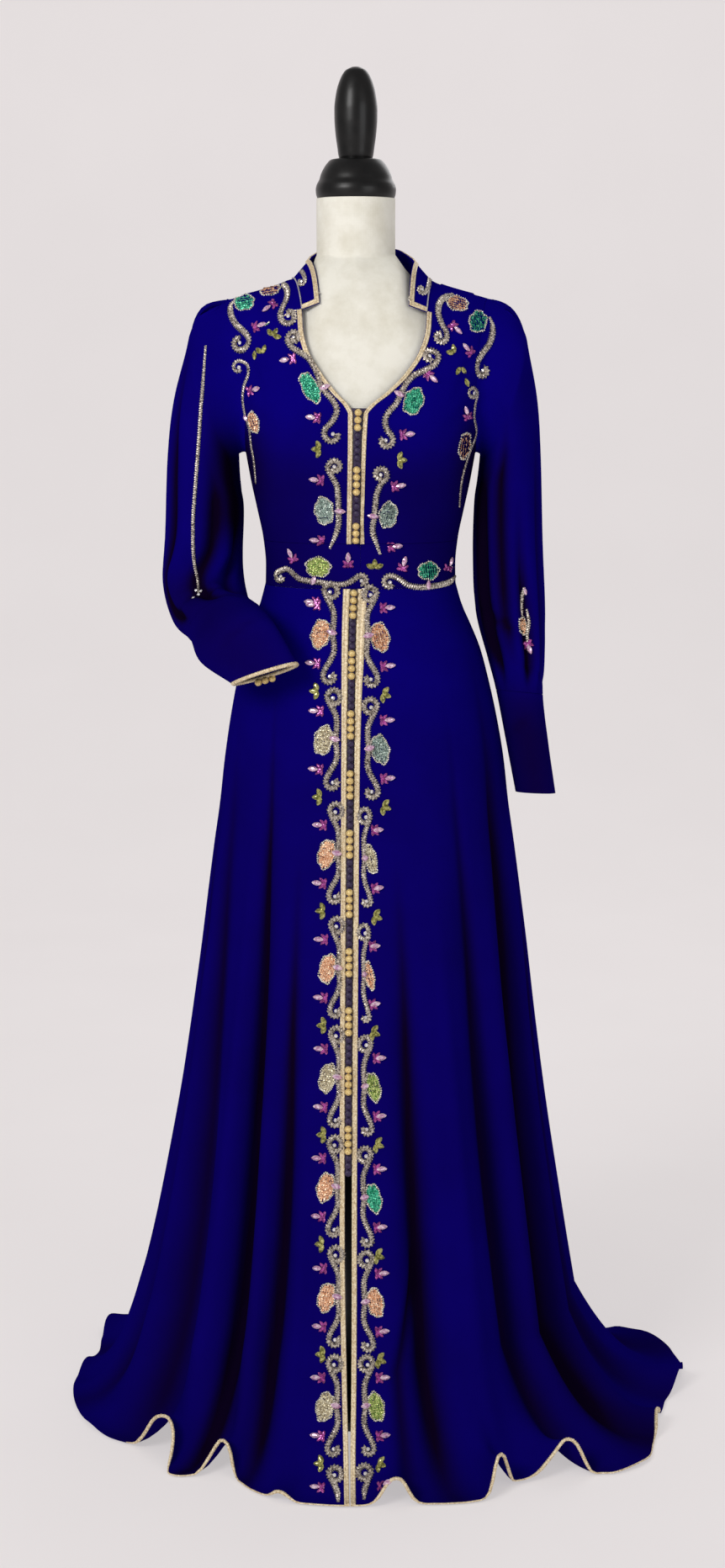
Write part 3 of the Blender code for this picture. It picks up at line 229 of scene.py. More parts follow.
def smooth(xs, ys, at):
    """A smooth curve through the points that never overshoots them, read at the values given."""
    xs, ys, at = np.asarray(xs, float), np.asarray(ys, float), np.asarray(at, float)
    step = np.diff(xs)
    rise = np.diff(ys) / step
    slope = np.concatenate(([rise[0]], np.zeros(len(xs) - 2), [rise[-1]]))
    for i in range(1, len(xs) - 1):
        if rise[i - 1] * rise[i] > 0:
            before, after = 2 * step[i] + step[i - 1], step[i] + 2 * step[i - 1]
            slope[i] = (before + after) / (before / rise[i - 1] + after / rise[i])
    k = np.clip(np.searchsorted(xs, at) - 1, 0, len(xs) - 2)
    f = np.clip((at - xs[k]) / step[k], 0.0, 1.0)
    return cubic(ys[k], ys[k + 1], step[k] * slope[k], step[k] * slope[k + 1], f)


def column(rows, number, at):
    """The numbered column of a table, read smoothly along its first column."""
    return smooth([row[0] for row in rows], [row[number] for row in rows], at)


def wrapped(angle):
    """The same angle, from -180 to 180."""
    return (angle + 180.0) % 360.0 - 180.0


def unit(vectors):
    return vectors / np.maximum(np.linalg.norm(vectors, axis=-1, keepdims=True), 1e-12)


def signed_power(value, power):
    return np.sign(value) * np.abs(value) ** power


def ease(value):
    value = np.clip(value, 0.0, 1.0)
    return value * value * (3 - 2 * value)


# Surfaces


def torso(angle, height):
    """A point of the torso: the angle is 0 at the front, 90 at the wearer's left and 180 behind."""
    angle, height = np.broadcast_arrays(np.radians(angle), np.asarray(height, float))
    across = column(BODY, 1, height) * signed_power(np.sin(angle), 2 / BODY_POWER)
    ahead = np.cos(angle) >= 0
    deep = np.where(ahead, column(BODY, 2, height), column(BODY, 3, height))
    deep = deep * signed_power(np.cos(angle), 2 / BODY_POWER)
    top = column(SHOULDER_LINE, 1, np.abs(across))
    rounding = np.where(ahead, SHOULDER_ROUND_FRONT, SHOULDER_ROUND_BACK)
    below = np.clip((top - height) / rounding, 0.0, 1.0)
    deep = deep * np.sqrt(1 - (1 - below) ** 2)
    return np.stack([BODICE_CENTRE + across, -deep, height], axis=-1)


def torso_angle(x, height):
    """The angle at which the front of the torso has this x."""
    reach = np.abs(np.asarray(x) - BODICE_CENTRE) / column(BODY, 1, height)
    return np.degrees(np.arcsin(np.clip(reach, 0.0, 1.0) ** (BODY_POWER / 2)))


def armhole_angle(height, bulge):
    """The angle of the side seam and, above the underarm, of the armhole's edge."""
    tip = column(SHOULDER_LINE, 1, SHOULDER_REACH)
    share = np.clip((np.asarray(height, float) - UNDERARM) / (tip - UNDERARM), 0.0, 1.0)
    end = torso_angle(BODICE_CENTRE + SHOULDER_REACH, tip)
    return 90.0 + (end - 90.0) * share - bulge * np.sqrt(np.sin(np.pi * share).clip(0.0))


def falls(rows, angle, height):
    """For each fold of a table: the share of it above a height, the angle from it, its depth and width."""
    for top, low, start, deep, width in rows:
        share = (start - height) / (start - SKIRT_BREAK)
        middle = top + (low - top) * np.clip(share, 0.0, 1.0)
        yield share, wrapped(angle - middle), deep, width


def fold_depth(angle, height):
    return sum(
        deep * ease(share) * np.exp(-((away / width) ** 2))
        for share, away, deep, width in falls(FOLDS, angle, height)
    )


def hem_lift(angle):
    return sum(
        high * np.exp(-((np.abs(wrapped(angle - middle)) / width) ** 2.6)) for middle, width, high in ARCHES
    )


def skirt_height(down):
    return SKIRT_TOP + (SKIRT_BREAK - SKIRT_TOP) * np.minimum(down, 1.0)


def skirt(angle, down):
    """A point of the skirt. down is 0 at the waist, 1 where it bends onto the floor and 2 at the hem."""
    angle, down = np.broadcast_arrays(np.asarray(angle, float), np.asarray(down, float))
    height = skirt_height(down)
    out = np.clip(down - 1.0, 0.0, 1.2)
    power = 1.0 - (1.0 - 2 / BODY_POWER) * ease((height - 0.85) / (SKIRT_TOP - 0.85))
    turn = np.radians(angle)
    deep = np.where(np.cos(turn) >= 0, column(SKIRT, 2, height), column(SKIRT, 3, height))
    x = column(SKIRT, 1, height) * signed_power(np.sin(turn), power)
    y = -deep * signed_power(np.cos(turn), power)
    pulled = 1 - fold_depth(angle, height) / np.hypot(x, y)
    x, y = x * pulled + column(SKIRT, 4, height), y * pulled
    here = wrapped(angle)
    reach = column(HEM, 2, here)
    turn = turn + np.radians(column(HEM, 1, here) - here) * out ** 2
    x = x + (reach * np.sin(turn) - x) * out
    y = y + (-reach * np.cos(turn) - y) * out
    fall = (SKIRT_BREAK - HEM_HEIGHT) * np.clip(1 - out, 0.0, 1.0) ** 2.3
    low = HEM_HEIGHT + fall + hem_lift(angle) * ease(out * 0.75) / ease(0.75)
    return np.stack([x, y, np.where(down > 1.0, low, height)], axis=-1)


# Grids of points with their normals


def grid_of(surface, across, along, step=1e-4):
    """Outer points and unit normals of surface(across, along) over two arrays of the same shape."""
    points = surface(across, along)
    one = surface(across + step, along) - surface(across - step, along)
    two = surface(across, along + step) - surface(across, along - step)
    normals = np.cross(one, two)
    normals = unit(normals)
    return points, normals


def outward(points, normals, centre):
    """Normals turned to point away from a centre, given as a point or one for each row."""
    away = ((points - centre) * normals).sum(axis=-1)
    return normals * np.sign(np.median(away))


def panel_points(side, u, v):
    """The bodice panel as a surface of its own two shares, u across and v up."""
    tip = float(column(SHOULDER_LINE, 1, SHOULDER_REACH))
    neck = NECK_POINT_RIGHT if side < 0 else NECK_POINT_LEFT
    number = 1 if side < 0 else 2
    side_heights = BAND_TOP + SEAM_GAP + (tip - BAND_TOP - SEAM_GAP) * v
    edge_heights = BAND_TOP + SEAM_GAP + (neck - BAND_TOP - SEAM_GAP) * v
    edge_x = column(FRONT_EDGE, number, edge_heights)
    edge_angles = torso_angle(edge_x, edge_heights)
    edge_angles = np.where((edge_x - BODICE_CENTRE) * side < 0, -edge_angles, edge_angles)
    side_angles = armhole_angle(side_heights, FRONT_BULGE)
    angles = edge_angles * (1 - u) + side_angles * u
    heights = edge_heights * (1 - u) + side_heights * u
    reach = column(BODY, 1, heights) * np.sin(np.radians(angles.clip(0.0, 90.0))) ** (2 / BODY_POWER)
    heights = heights + (column(SHOULDER_LINE, 1, reach) - heights) * v ** 8
    return torso(angles * side, heights)


def back_points(u, v):
    """The bodice back: u runs from the right side edge, -1, to the left one, 1, and v up."""
    tip = float(column(SHOULDER_LINE, 1, SHOULDER_REACH))
    side_heights = BAND_TOP + SEAM_GAP + (tip - BAND_TOP - SEAM_GAP) * v
    side_angles = armhole_angle(side_heights, BACK_BULGE)
    share = np.abs(u)
    neck_x = np.where(u < 0, BACK_NECK_RIGHT, BACK_NECK_LEFT) - BODICE_CENTRE
    flat = np.clip(share / BACK_NECK_SHARE, 0.0, 1.0)
    neck_line = BACK_NECK_HEIGHT + (column(SHOULDER_LINE, 1, np.abs(neck_x)) - BACK_NECK_HEIGHT) * flat ** 4
    on_shoulder = np.clip((share - BACK_NECK_SHARE) / (1 - BACK_NECK_SHARE), 0.0, 1.0)
    top_reach = np.abs(neck_x) * flat + (SHOULDER_REACH - np.abs(neck_x)) * on_shoulder
    top = np.where(share < BACK_NECK_SHARE, neck_line, column(SHOULDER_LINE, 1, top_reach))
    bottom = BAND_TOP + SEAM_GAP
    heights = bottom + (top - bottom) * v
    low_angles = side_angles * share
    top_angles = np.degrees(
        np.arcsin(np.clip(top_reach / column(BODY, 1, top), 0.0, 1.0) ** (BODY_POWER / 2))
    )
    blend = ease(v)
    angles = low_angles * (1 - blend) + top_angles * blend
    pull = share ** 6 * (1 - v ** 8)
    heights = heights * (1 - pull) + side_heights * pull
    angles = angles * (1 - pull) + side_angles * pull
    return torso(180.0 - angles * np.sign(u), heights)


def form_ring(height):
    """One ring of the form's cloth-covered body, just inside the kaftan, with the neck rising from it."""
    shrink = CLOTH + FORM_CLEARANCE
    heights = np.array([row[1] for row in FORM_SHOULDER])[::-1]
    reaches = np.array([row[0] for row in FORM_SHOULDER])[::-1]
    wide = float(column(BODY, 1, height)) - shrink - 0.004
    limit = min(wide, float(np.interp(height, heights, reaches)) if height > heights[0] else 1.0)
    neck_radius = NECK_RADIUS if height > 1.45 else 0.0
    shift = BODICE_CENTRE * (1 - ease((height - 1.49) / 0.04))
    turns = 2 * np.pi * np.arange(FORM_SIDES) / FORM_SIDES
    ahead = np.cos(turns) >= 0
    across = max(limit, neck_radius) * signed_power(np.sin(turns), 2 / BODY_POWER)
    full = np.where(ahead, column(BODY, 2, height), column(BODY, 3, height)) - shrink - 0.003
    share = np.clip(np.abs(across) / wide, 0.0, 1.0)
    deep = full * (1 - share ** BODY_POWER) ** (1 / BODY_POWER)
    cloth = column(SHOULDER_LINE, 1, np.abs(across)) - shrink - 0.001
    top = column(FORM_SHOULDER, 1, np.abs(across))
    top = np.where(ahead, top, np.minimum(top, cloth))
    below = (top - height) / np.where(ahead, SHOULDER_ROUND_FRONT, SHOULDER_ROUND_BACK)
    deep = deep * np.sqrt(1 - (1 - np.clip(below, 0.0, 1.0)) ** 2)
    deep = np.maximum(deep, np.sqrt(np.clip(neck_radius ** 2 - across ** 2, 0.0, None)))
    return [(shift + x, -y if front else y, height) for x, y, front in zip(across, deep, ahead)]


def seam_upright(points, normals):
    """The normals, upright along the shoulder seam, where the two sides of the torso meet."""
    normals[np.abs(points[..., 1]) < 1e-3 * (points[..., 2] > UNDERARM + 0.05)] = (0.0, 0.0, 1.0)
    return normals


def closing_edge(side, downs):
    """The angle of the edge of one skirt front, for each row."""
    closing = np.where(downs > 1.0, SKIRT_BREAK * (2.0 - downs), skirt_height(downs))
    x = column(CLOSING_LINE, 1, closing) + side * column(CLOSING_LINE, 2, closing)
    low, high = np.full(len(x), -30.0), np.full(len(x), 30.0)
    for _ in range(40):
        middle = (low + high) / 2
        over = skirt(middle, downs)[:, 0] > x
        high, low = np.where(over, middle, high), np.where(over, low, middle)
    return (low + high) / 2


def braid_share(side, rows):
    """The share of a bodice front that its braid takes up, for each row."""
    step = 1e-3
    edge = panel_points(side, np.zeros(len(rows)), rows)
    near = panel_points(side, np.full(len(rows), step), rows)
    return BRAID_WIDTH * step / np.linalg.norm(near - edge, axis=-1)


def section_rings(table, turns):
    """Ellipse rings through a sleeve's sections. Turn 0 is at the inner point, the front comes first."""
    rows = np.array(table)
    outer, inner, depth = rows[:, 0:3], rows[:, 3:6], rows[:, 6]
    middle, half = (outer + inner) / 2, (outer - inner) / 2
    across = np.cross(np.gradient(middle, axis=0), half)
    across = unit(across)
    across *= -np.sign(across[0, 1])
    sideways, ahead = np.cos(turns)[None, :, None], np.sin(turns)[None, :, None]
    return middle[:, None] - half[:, None] * sideways + (across * depth[:, None])[:, None] * ahead


def ring_normals(rings):
    """Outward normals of a tube given as rings of points, from the points themselves."""
    around = np.roll(rings, -1, axis=1) - np.roll(rings, 1, axis=1)
    along = np.gradient(rings, axis=0)
    normals = np.cross(around, along)
    normals = unit(normals)
    return outward(rings, normals, rings.mean(axis=1, keepdims=True))


def densify(rings):
    """Smooth rings between the given ones, RING_STEPS from each ring to the next."""
    at = np.arange((len(rings) - 1) * RING_STEPS + 1) / RING_STEPS
    slope = np.gradient(rings, axis=0)
    k = np.clip(at.astype(int), 0, len(rings) - 2)
    return cubic(rings[k], rings[k + 1], slope[k], slope[k + 1], (at - k)[:, None, None])


# Fine grids of the cloth

ARMHOLE_START = 14
FRONT_COLUMNS = 34
SIDE_COLUMNS = 118
BACK_COLUMNS = 190
SKIRT_ROWS = 82
TRAIN_ROWS = 40
SHELL = 0.0016
RING_STEPS = 8
BRIDGE_RINGS = 12

# Soft creases between the big folds of the skirt: angle at the waist, angle at the floor, height
# where it starts, depth (a ridge is negative), half width in degrees
SKIRT_CREASES = (
    (-41, -35.2, 1.02, 0.0065, 1.7), (-47, -43, 0.86, -0.004, 2.6), (-33, -28.5, 0.7, -0.0045, 2.4),
    (-24, -22.6, 0.6, 0.005, 1.6), (-56, -49.5, 0.52, 0.005, 2.2), (-72, -66, 0.95, -0.004, 3.2),
    (-14, -13, 0.46, 0.0035, 2.4), (12, 17.6, 0.64, 0.0045, 1.8), (19, 10.5, 0.3, 0.004, 1.7),
    (26, 31, 0.8, -0.0045, 3), (37.5, 45.6, 1, 0.006, 1.9), (50, 53, 0.85, -0.0045, 3),
    (62, 62, 1.04, 0.008, 2.4), (70, 71, 0.9, -0.0045, 2.6), (86, 88, 0.66, 0.0045, 2.4),
    (-88, -90, 0.7, 0.0045, 2.4), (-97, -97, 0.6, -0.004, 3), (-111, -112, 0.9, 0.0055, 2.3),
    (-119, -120, 0.7, -0.0045, 3), (-133, -136, 0.96, 0.006, 2.2), (-143, -144, 0.74, -0.0045, 3),
    (-156, -158, 0.98, 0.006, 2.4), (-164, -166, 0.6, 0.0045, 2), (-177, -178, 0.8, -0.0045, 3),
    (97, 96, 0.64, -0.004, 3), (109, 110, 0.88, 0.0055, 2.4), (118, 119, 0.7, -0.0045, 3),
    (131, 133, 0.96, 0.006, 2.2), (140, 141, 0.66, 0.0045, 2), (153, 155, 0.92, 0.006, 2.4),
    (174, 176, 0.8, 0.0055, 2.3),
)

CREASE_GAIN = 1.35
CREASE_FLOOR = 0.0038
# Painted shade in the skirt's folds, darkening the crepe's colour: angle at the waist, angle at the floor,
# height where it starts, strength, half width in degrees at the floor
SKIRT_PAINTED_FOLD_SHADE = (
    (-41, -35, 1.02, 0.8, 1.9), (-40, -33.5, 1, 0.3, 5.5), (-24.5, -22.8, 0.8, 0.75, 2.6),
    (-66, -55, 0.98, 0.55, 6), (-80, -78, 0.92, 0.45, 4.5), (11.5, 17.8, 0.8, 0.72, 3),
    (17, 10.5, 0.3, 0.5, 1.8), (37, 45.4, 0.96, 0.6, 3.4), (62.5, 62, 1.05, 0.95, 7),
    (82, 82, 0.85, 0.5, 4.5), (-104, -106, 0.96, 0.6, 5), (-126, -129, 0.9, 0.65, 5),
    (-149, -152, 1, 0.6, 5), (-171, -173, 0.86, 0.55, 5), (103, 104, 0.94, 0.6, 5),
    (124, 127, 0.98, 0.65, 5), (146, 149, 0.88, 0.55, 5), (167, 169, 0.95, 0.6, 5),
)

# Bands of painted shade down the sleeves: turn at the top, turn at the cuff, start and end as shares of the
# sleeve, strength, half width in degrees
SLEEVE_PAINTED_SHADE_BANDS = {
    "right": (
        (30, 40, 0.02, 0.62, 0.85, 34), (138, 132, 0.3, 0.98, 0.6, 9), (76, 74, 0.4, 0.95, 0.3, 12),
        (90, 90, 0.62, 9, 0.4, 90), (232, 238, 0.15, 1, 0.45, 22), (300, 300, 0.1, 1, 0.55, 26),
    ),
    "left": (
        (26, 34, 0.16, 0.96, 0.8, 26), (76, 86, 0.24, 0.8, 0.34, 13), (112, 116, 0.58, 0.98, 0.6, 9),
        (90, 90, 0.9, 9, 0.58, 100), (232, 228, 0.15, 1, 0.45, 22), (300, 296, 0.1, 1, 0.55, 26),
    ),
}
# Even painted shade: sleeves below their heads, the skirt (more below the waist), the bodice towards the
# waist
SLEEVE_PAINTED_BASE_SHADE = 0.20
SKIRT_PAINTED_BASE_SHADE = (0.10, 0.24)
BODICE_PAINTED_WAIST_SHADE = 0.52

# Folds along each sleeve: turn at the top, turn at the cuff (0 inside, 90 in front, 180 outside),
# where it starts and ends as shares of the sleeve, depth (a ridge is negative), half width in degrees
SLEEVE_FOLDS_RIGHT = (
    (150, 126, 0.1, 1.05, 0.0075, 10), (112, 104, 0.2, 1.05, -0.004, 12),
    (64, 66, 0.26, 1.05, 0.0085, 11), (42, 44, 0.34, 1, -0.0035, 8), (22, 24, 0.3, 0.95, 0.006, 9),
    (186, 178, 0.3, 1, 0.005, 10), (214, 222, 0.12, 1, 0.0075, 11), (252, 250, 0.25, 1.05, -0.0045, 13),
    (284, 288, 0.15, 1, 0.0085, 11), (322, 318, 0.3, 0.95, 0.006, 10), (348, 340, 0.1, 0.6, 0.004, 9),
)
SLEEVE_FOLDS_LEFT = (
    (66, 78, 0.12, 0.92, 0.007, 11), (36, 44, 0.3, 1.05, 0.008, 10), (104, 112, 0.44, 1.05, 0.009, 8),
    (124, 134, 0.52, 1.05, -0.004, 8), (152, 150, 0.3, 1, 0.006, 10), (12, 14, 0.2, 0.9, 0.005, 9),
    (190, 186, 0.4, 1, 0.005, 9), (218, 224, 0.14, 1, 0.008, 11), (256, 252, 0.3, 1.05, -0.0045, 13),
    (290, 284, 0.16, 1, 0.008, 11), (326, 330, 0.28, 0.95, 0.006, 10),
)
# The puff of each sleeve head: its height on either sleeve, the turn and the ring of its middle
HEADS = {"right": 0.0085, "left": 0.0030}
HEAD_TURN = 180.0
HEAD_RING = 5.0
# Short creases across each sleeve and cuff: turn, share along the tube, depth, half width in
# degrees, half width in shares, lean
SLEEVE_CREASES_RIGHT = (
    (40, 0.66, 0.005, 46, 0.016, 0.0005), (330, 0.7, 0.0045, 50, 0.015, -0.0006),
    (120, 0.71, 0.0035, 40, 0.014, 0.0007), (20, 0.76, 0.004, 44, 0.013, -0.0004),
    (60, 0.9, 0.0016, 50, 0.01, 0.0005), (250, 0.88, 0.0018, 46, 0.011, -0.0006),
)
SLEEVE_CREASES_LEFT = (
    (60, 0.6, 0.0035, 46, 0.016, 0.0007), (250, 0.56, 0.004, 50, 0.016, -0.0006),
    (130, 0.72, 0.0025, 40, 0.013, 0.0006), (70, 0.86, 0.0016, 46, 0.011, -0.0005),
    (260, 0.9, 0.0018, 46, 0.011, 0.0006),
)
# Drag lines on the bodice: x, height of the middle, dx, dz of the half length, depth, half width
BODICE_CREASES = (
    (-0.062, 1.196, 0.03, 0.026, 0.0016, 0.006), (-0.088, 1.222, 0.032, 0.018, 0.0018, 0.0065),
    (-0.112, 1.262, 0.026, 0.01, 0.0022, 0.006), (-0.12, 1.318, 0.02, -0.02, 0.0022, 0.007),
    (-0.127, 1.372, 0.012, -0.03, 0.0018, 0.0065), (0.072, 1.2, -0.03, 0.026, 0.0017, 0.006),
    (0.1, 1.226, -0.032, 0.018, 0.002, 0.0065), (0.122, 1.268, -0.026, 0.011, 0.0022, 0.006),
    (0.132, 1.322, -0.02, -0.02, 0.0022, 0.007), (0.138, 1.374, -0.012, -0.03, 0.0018, 0.0065),
)
BACK_CREASES = (
    (-0.07, 1.19, 0.034, 0.018, 0.0022, 0.0065), (-0.105, 1.23, 0.03, 0.014, 0.0022, 0.0065),
    (-0.01, 1.184, 0.05, 0.004, 0.002, 0.006), (0.085, 1.192, -0.034, 0.018, 0.0022, 0.0065),
    (0.118, 1.232, -0.03, 0.014, 0.0022, 0.0065), (-0.095, 1.33, 0.026, -0.026, 0.002, 0.0075),
    (0.108, 1.336, -0.026, -0.026, 0.002, 0.0075), (0.006, 1.42, 0.045, 0.003, 0.0016, 0.008),
)


def fine_rows():
    """Rows of the bodice's cloth as shares of its height: even up to the underarm, closer above it."""
    tip = float(column(SHOULDER_LINE, 1, SHOULDER_REACH))
    low = BAND_TOP + SEAM_GAP
    underarm = (UNDERARM - low) / (tip - low)
    above = 0.5 - 0.5 * np.cos(np.pi * np.linspace(0.0, 1.0, 45))
    above = np.unique(np.concatenate([above, [NOTCH_ROW]]))
    low_rows = np.linspace(0.0, underarm, ARMHOLE_START + 1)[:-1]
    return np.concatenate([low_rows, underarm + (1 - underarm) * above])


def fine_notch():
    """The row at which the collar starts."""
    rows = fine_rows()
    underarm = rows[ARMHOLE_START]
    return int(np.argmin(np.abs(rows - underarm - (1 - underarm) * NOTCH_ROW)))


def pushed_in(points, normals, creases, fade):
    """The points moved in along their normals at each drag line, less where fade is near 0."""
    moved = np.zeros(points.shape[:2])
    for x, z, dx, dz, depth, width in creases:
        length = math.hypot(dx, dz)
        along = ((points[..., 0] - x) * dx + (points[..., 2] - z) * dz) / length
        away = ((points[..., 0] - x) * dz - (points[..., 2] - z) * dx) / length
        moved += depth * np.exp(-((along / length) ** 2) * 1.4 - (away / width) ** 2)
    return points - normals * (moved * fade)[..., None]


def fine_front(side):
    """The cloth of one bodice front: its points, its braid's column first, and their normals."""
    rows = fine_rows()
    first = braid_share(side, rows)
    shares = np.linspace(0.0, 1.0, FRONT_COLUMNS)
    u = np.concatenate([np.zeros((len(rows), 1)), first[:, None] + (1 - first[:, None]) * shares], axis=1)
    v = rows[:, None] * np.ones(u.shape[1])
    points, normals = grid_of(lambda a, b: panel_points(side, a, b), u, v)
    normals = seam_upright(points, outward(points, normals, CHEST))
    points = points - np.array([0.0, SEAM_GAP / 2, 0.0])
    fade = ease(u * 6) * ease((1 - u) * 8) * ease(v * 9) * ease((1 - v) * 9)
    return pushed_in(points, normals, BODICE_CREASES, fade), normals


def fine_back():
    rows = fine_rows()
    half = np.unique(np.concatenate([np.linspace(0.0, 1.0, 31)[1:], [BACK_NECK_SHARE]]))
    shares = np.concatenate([-half[::-1], [1e-6], half])
    u, v = np.meshgrid(shares, rows)
    points, normals = grid_of(back_points, u, v)
    normals = seam_upright(points, outward(points, normals, CHEST))
    points = points + np.array([0.0, SEAM_GAP / 2, 0.0])
    fade = ease((1 - np.abs(u)) * 8) * ease(v * 9) * ease((1 - v) * 9)
    return pushed_in(points, normals, BACK_CREASES, fade), normals


def skirt_crease(angle, down):
    depth = sum(
        deep * ease(share * 1.6) * np.exp(-((away / width) ** 2))
        for share, away, deep, width in falls(SKIRT_CREASES, angle, skirt_height(down))
    )
    return CREASE_GAIN * depth * (1.0 - 0.55 * ease((down - 1.0) * 1.1))


def skirt_painted_shade(angle, down):
    """Painted shade of the skirt, in its folds and more below the waist: 0 on the ridges, 1 deep in a fold.
    """
    height, painted_shade = skirt_height(down), 0.0
    for share, away, strength, width in falls(SKIRT_PAINTED_FOLD_SHADE, angle, height):
        spread = width * (0.55 + 0.45 * np.clip(share, 0.0, 1.0))
        painted_shade = painted_shade + strength * ease(share * 2.2) * np.exp(-np.abs(away / spread) ** 1.7)
    base_shade = SKIRT_PAINTED_BASE_SHADE[0] + SKIRT_PAINTED_BASE_SHADE[1] * ease((1.06 - height) / 0.25)
    return base_shade + painted_shade * (1.0 - 0.45 * ease((down - 1.25) * 1.6))


def bodice_painted_shade(points):
    """Painted shade of the bodice: darker towards the waist and under the arms than on the chest."""
    side = np.abs(points[..., 0] - BODICE_CENTRE)
    low = BODICE_PAINTED_WAIST_SHADE * ease((1.350 - points[..., 2]) / 0.13) * (0.72 + 0.28 * ease(side / 0.09))
    underarm = 0.60 * np.exp(-(((side - 0.150) / 0.026) ** 2) - ((points[..., 2] - 1.275) / 0.060) ** 2)
    return low + underarm


def sleeve_painted_shade(rings, turns, seam, table):
    """Painted shade on each point of a sleeve: its bands, and its lower end."""
    degrees = np.degrees(turns)[None, :]
    share = (np.arange(rings) / seam)[:, None]
    base_shade = SLEEVE_PAINTED_BASE_SHADE * ease(share / 0.3) * np.ones_like(degrees)
    for top, low, start, end, strength, width in table:
        away = wrapped(degrees - top - (low - top) * np.clip(share, 0.0, 1.0))
        grows = ease((share - start) / 0.22) * ease((end - share) / 0.14)
        base_shade = base_shade + strength * grows * np.exp(-np.abs(away / width) ** 1.7)
    return base_shade


def fine_skirt():
    """Grids of the three skirt panels, each with the angle and the way down of every point."""
    downs = np.concatenate([np.linspace(0.0, 1.0, SKIRT_ROWS), np.linspace(1.0, 2.0, TRAIN_ROWS)[1:]])
    panels = {}
    for side, name in ((-1, "front_right"), (1, "front_left")):
        edge = closing_edge(side, downs)
        shares = np.linspace(0.0, 1.0, SIDE_COLUMNS)
        angles = edge[:, None] + (side * SIDE_SEAM - side * SEAM_TURN - edge[:, None]) * shares
        panels[name] = (angles, np.broadcast_to(downs[:, None], angles.shape))
    back = np.linspace(SIDE_SEAM + SEAM_TURN, 360.0 - SIDE_SEAM - SEAM_TURN, BACK_COLUMNS)
    panels["back"] = np.meshgrid(back, downs)
    grids = {}
    for name, (angles, down) in panels.items():
        points, normals = grid_of(skirt, angles, down)
        normals = outward(points, normals, SKIRT_MIDDLE)
        away = np.abs(angles - angles[:, :1])
        keep = ease(away / 3.0) if name != "back" else 1.0
        points = points - normals * (skirt_crease(angles, down) * keep)[..., None]
        points[..., 2] = np.maximum(points[..., 2], CREASE_FLOOR)
        grids[name] = (points, refined_normals(points, normals), angles, down)
    return grids


def refined_normals(points, like):
    """Normals taken from the grid itself, on the side of the ones given."""
    one, two = np.gradient(points, axis=1), np.gradient(points, axis=0)
    normals = np.cross(one, two)
    length = np.linalg.norm(normals, axis=-1, keepdims=True)
    normals = np.where(length > 1e-12, normals / np.maximum(length, 1e-12), like)
    return normals * np.sign(np.median((normals * like).sum(axis=-1)))


def fine_armhole(side, panels):
    """The rim of an armhole: points, normals, the way the sleeve leaves it, and the number in front."""
    front, back = panels["right" if side < 0 else "left"], panels["back"]
    start = ARMHOLE_START
    edge, near = (0, 1) if side < 0 else (-1, -2)
    up = [(front[0][r, -1], front[1][r, -1], front[0][r, -1] - front[0][r, -2])
          for r in range(start, len(front[0]))]
    down = [(back[0][r, edge], back[1][r, edge], back[0][r, edge] - back[0][r, near])
            for r in range(len(back[0]) - 1, start - 1, -1)]
    points, normals, away = (np.array([item[k] for item in up + down]) for k in range(3))
    tangent = np.gradient(points, axis=0)
    onward = np.cross(tangent, normals)
    onward *= np.sign((onward * away).sum(axis=-1, keepdims=True))
    onward = unit(onward)
    steps = np.concatenate([[0.0], np.cumsum(np.linalg.norm(np.diff(points, axis=0), axis=1))])
    from_end = np.minimum(steps, steps[-1] - steps)
    low = np.exp(-((from_end / 0.006) ** 2))[:, None]
    onward = onward * (1 - low) + np.array([0.0, 0.0, 1.0]) * low
    onward = unit(onward)
    return points, normals, onward, len(up)


def fine_tube(side, panels, table):
    """Rings of a sleeve from the armhole to the wrist, and the ring where its cuff starts."""
    points, normals, onward, half = fine_armhole(side, panels)
    start = points + onward * SEAM_GAP
    steps = np.linalg.norm(np.diff(np.concatenate([start, start[:1]]), axis=0), axis=1)
    share = np.concatenate([[0.0], np.cumsum(steps)[:-1]])
    front = share[:half] / share[half - 1] * math.pi
    behind = (share[half:] - share[half]) / (share[-1] - share[half]) * math.pi + math.pi
    spread = 0.02
    turns = np.concatenate([front * (1 - spread) + spread / 2, behind * (1 - spread) + math.pi * spread])
    rings = section_rings(table, turns)
    first, leave = rings[0], (rings[1] - rings[0]) * 0.6
    reach = np.linalg.norm(first - start, axis=-1, keepdims=True)
    shares = np.linspace(0.0, 1.0, BRIDGE_RINGS)[1:-1]
    bridge = [cubic(start, first, onward * reach * 1.1, leave, f) for f in shares]
    tube = np.concatenate([start[None], np.stack(bridge), densify(rings)])
    seam = 1 + len(bridge) + RING_STEPS * CUFF_SECTION
    return tube, turns, seam, start - normals * SHELL


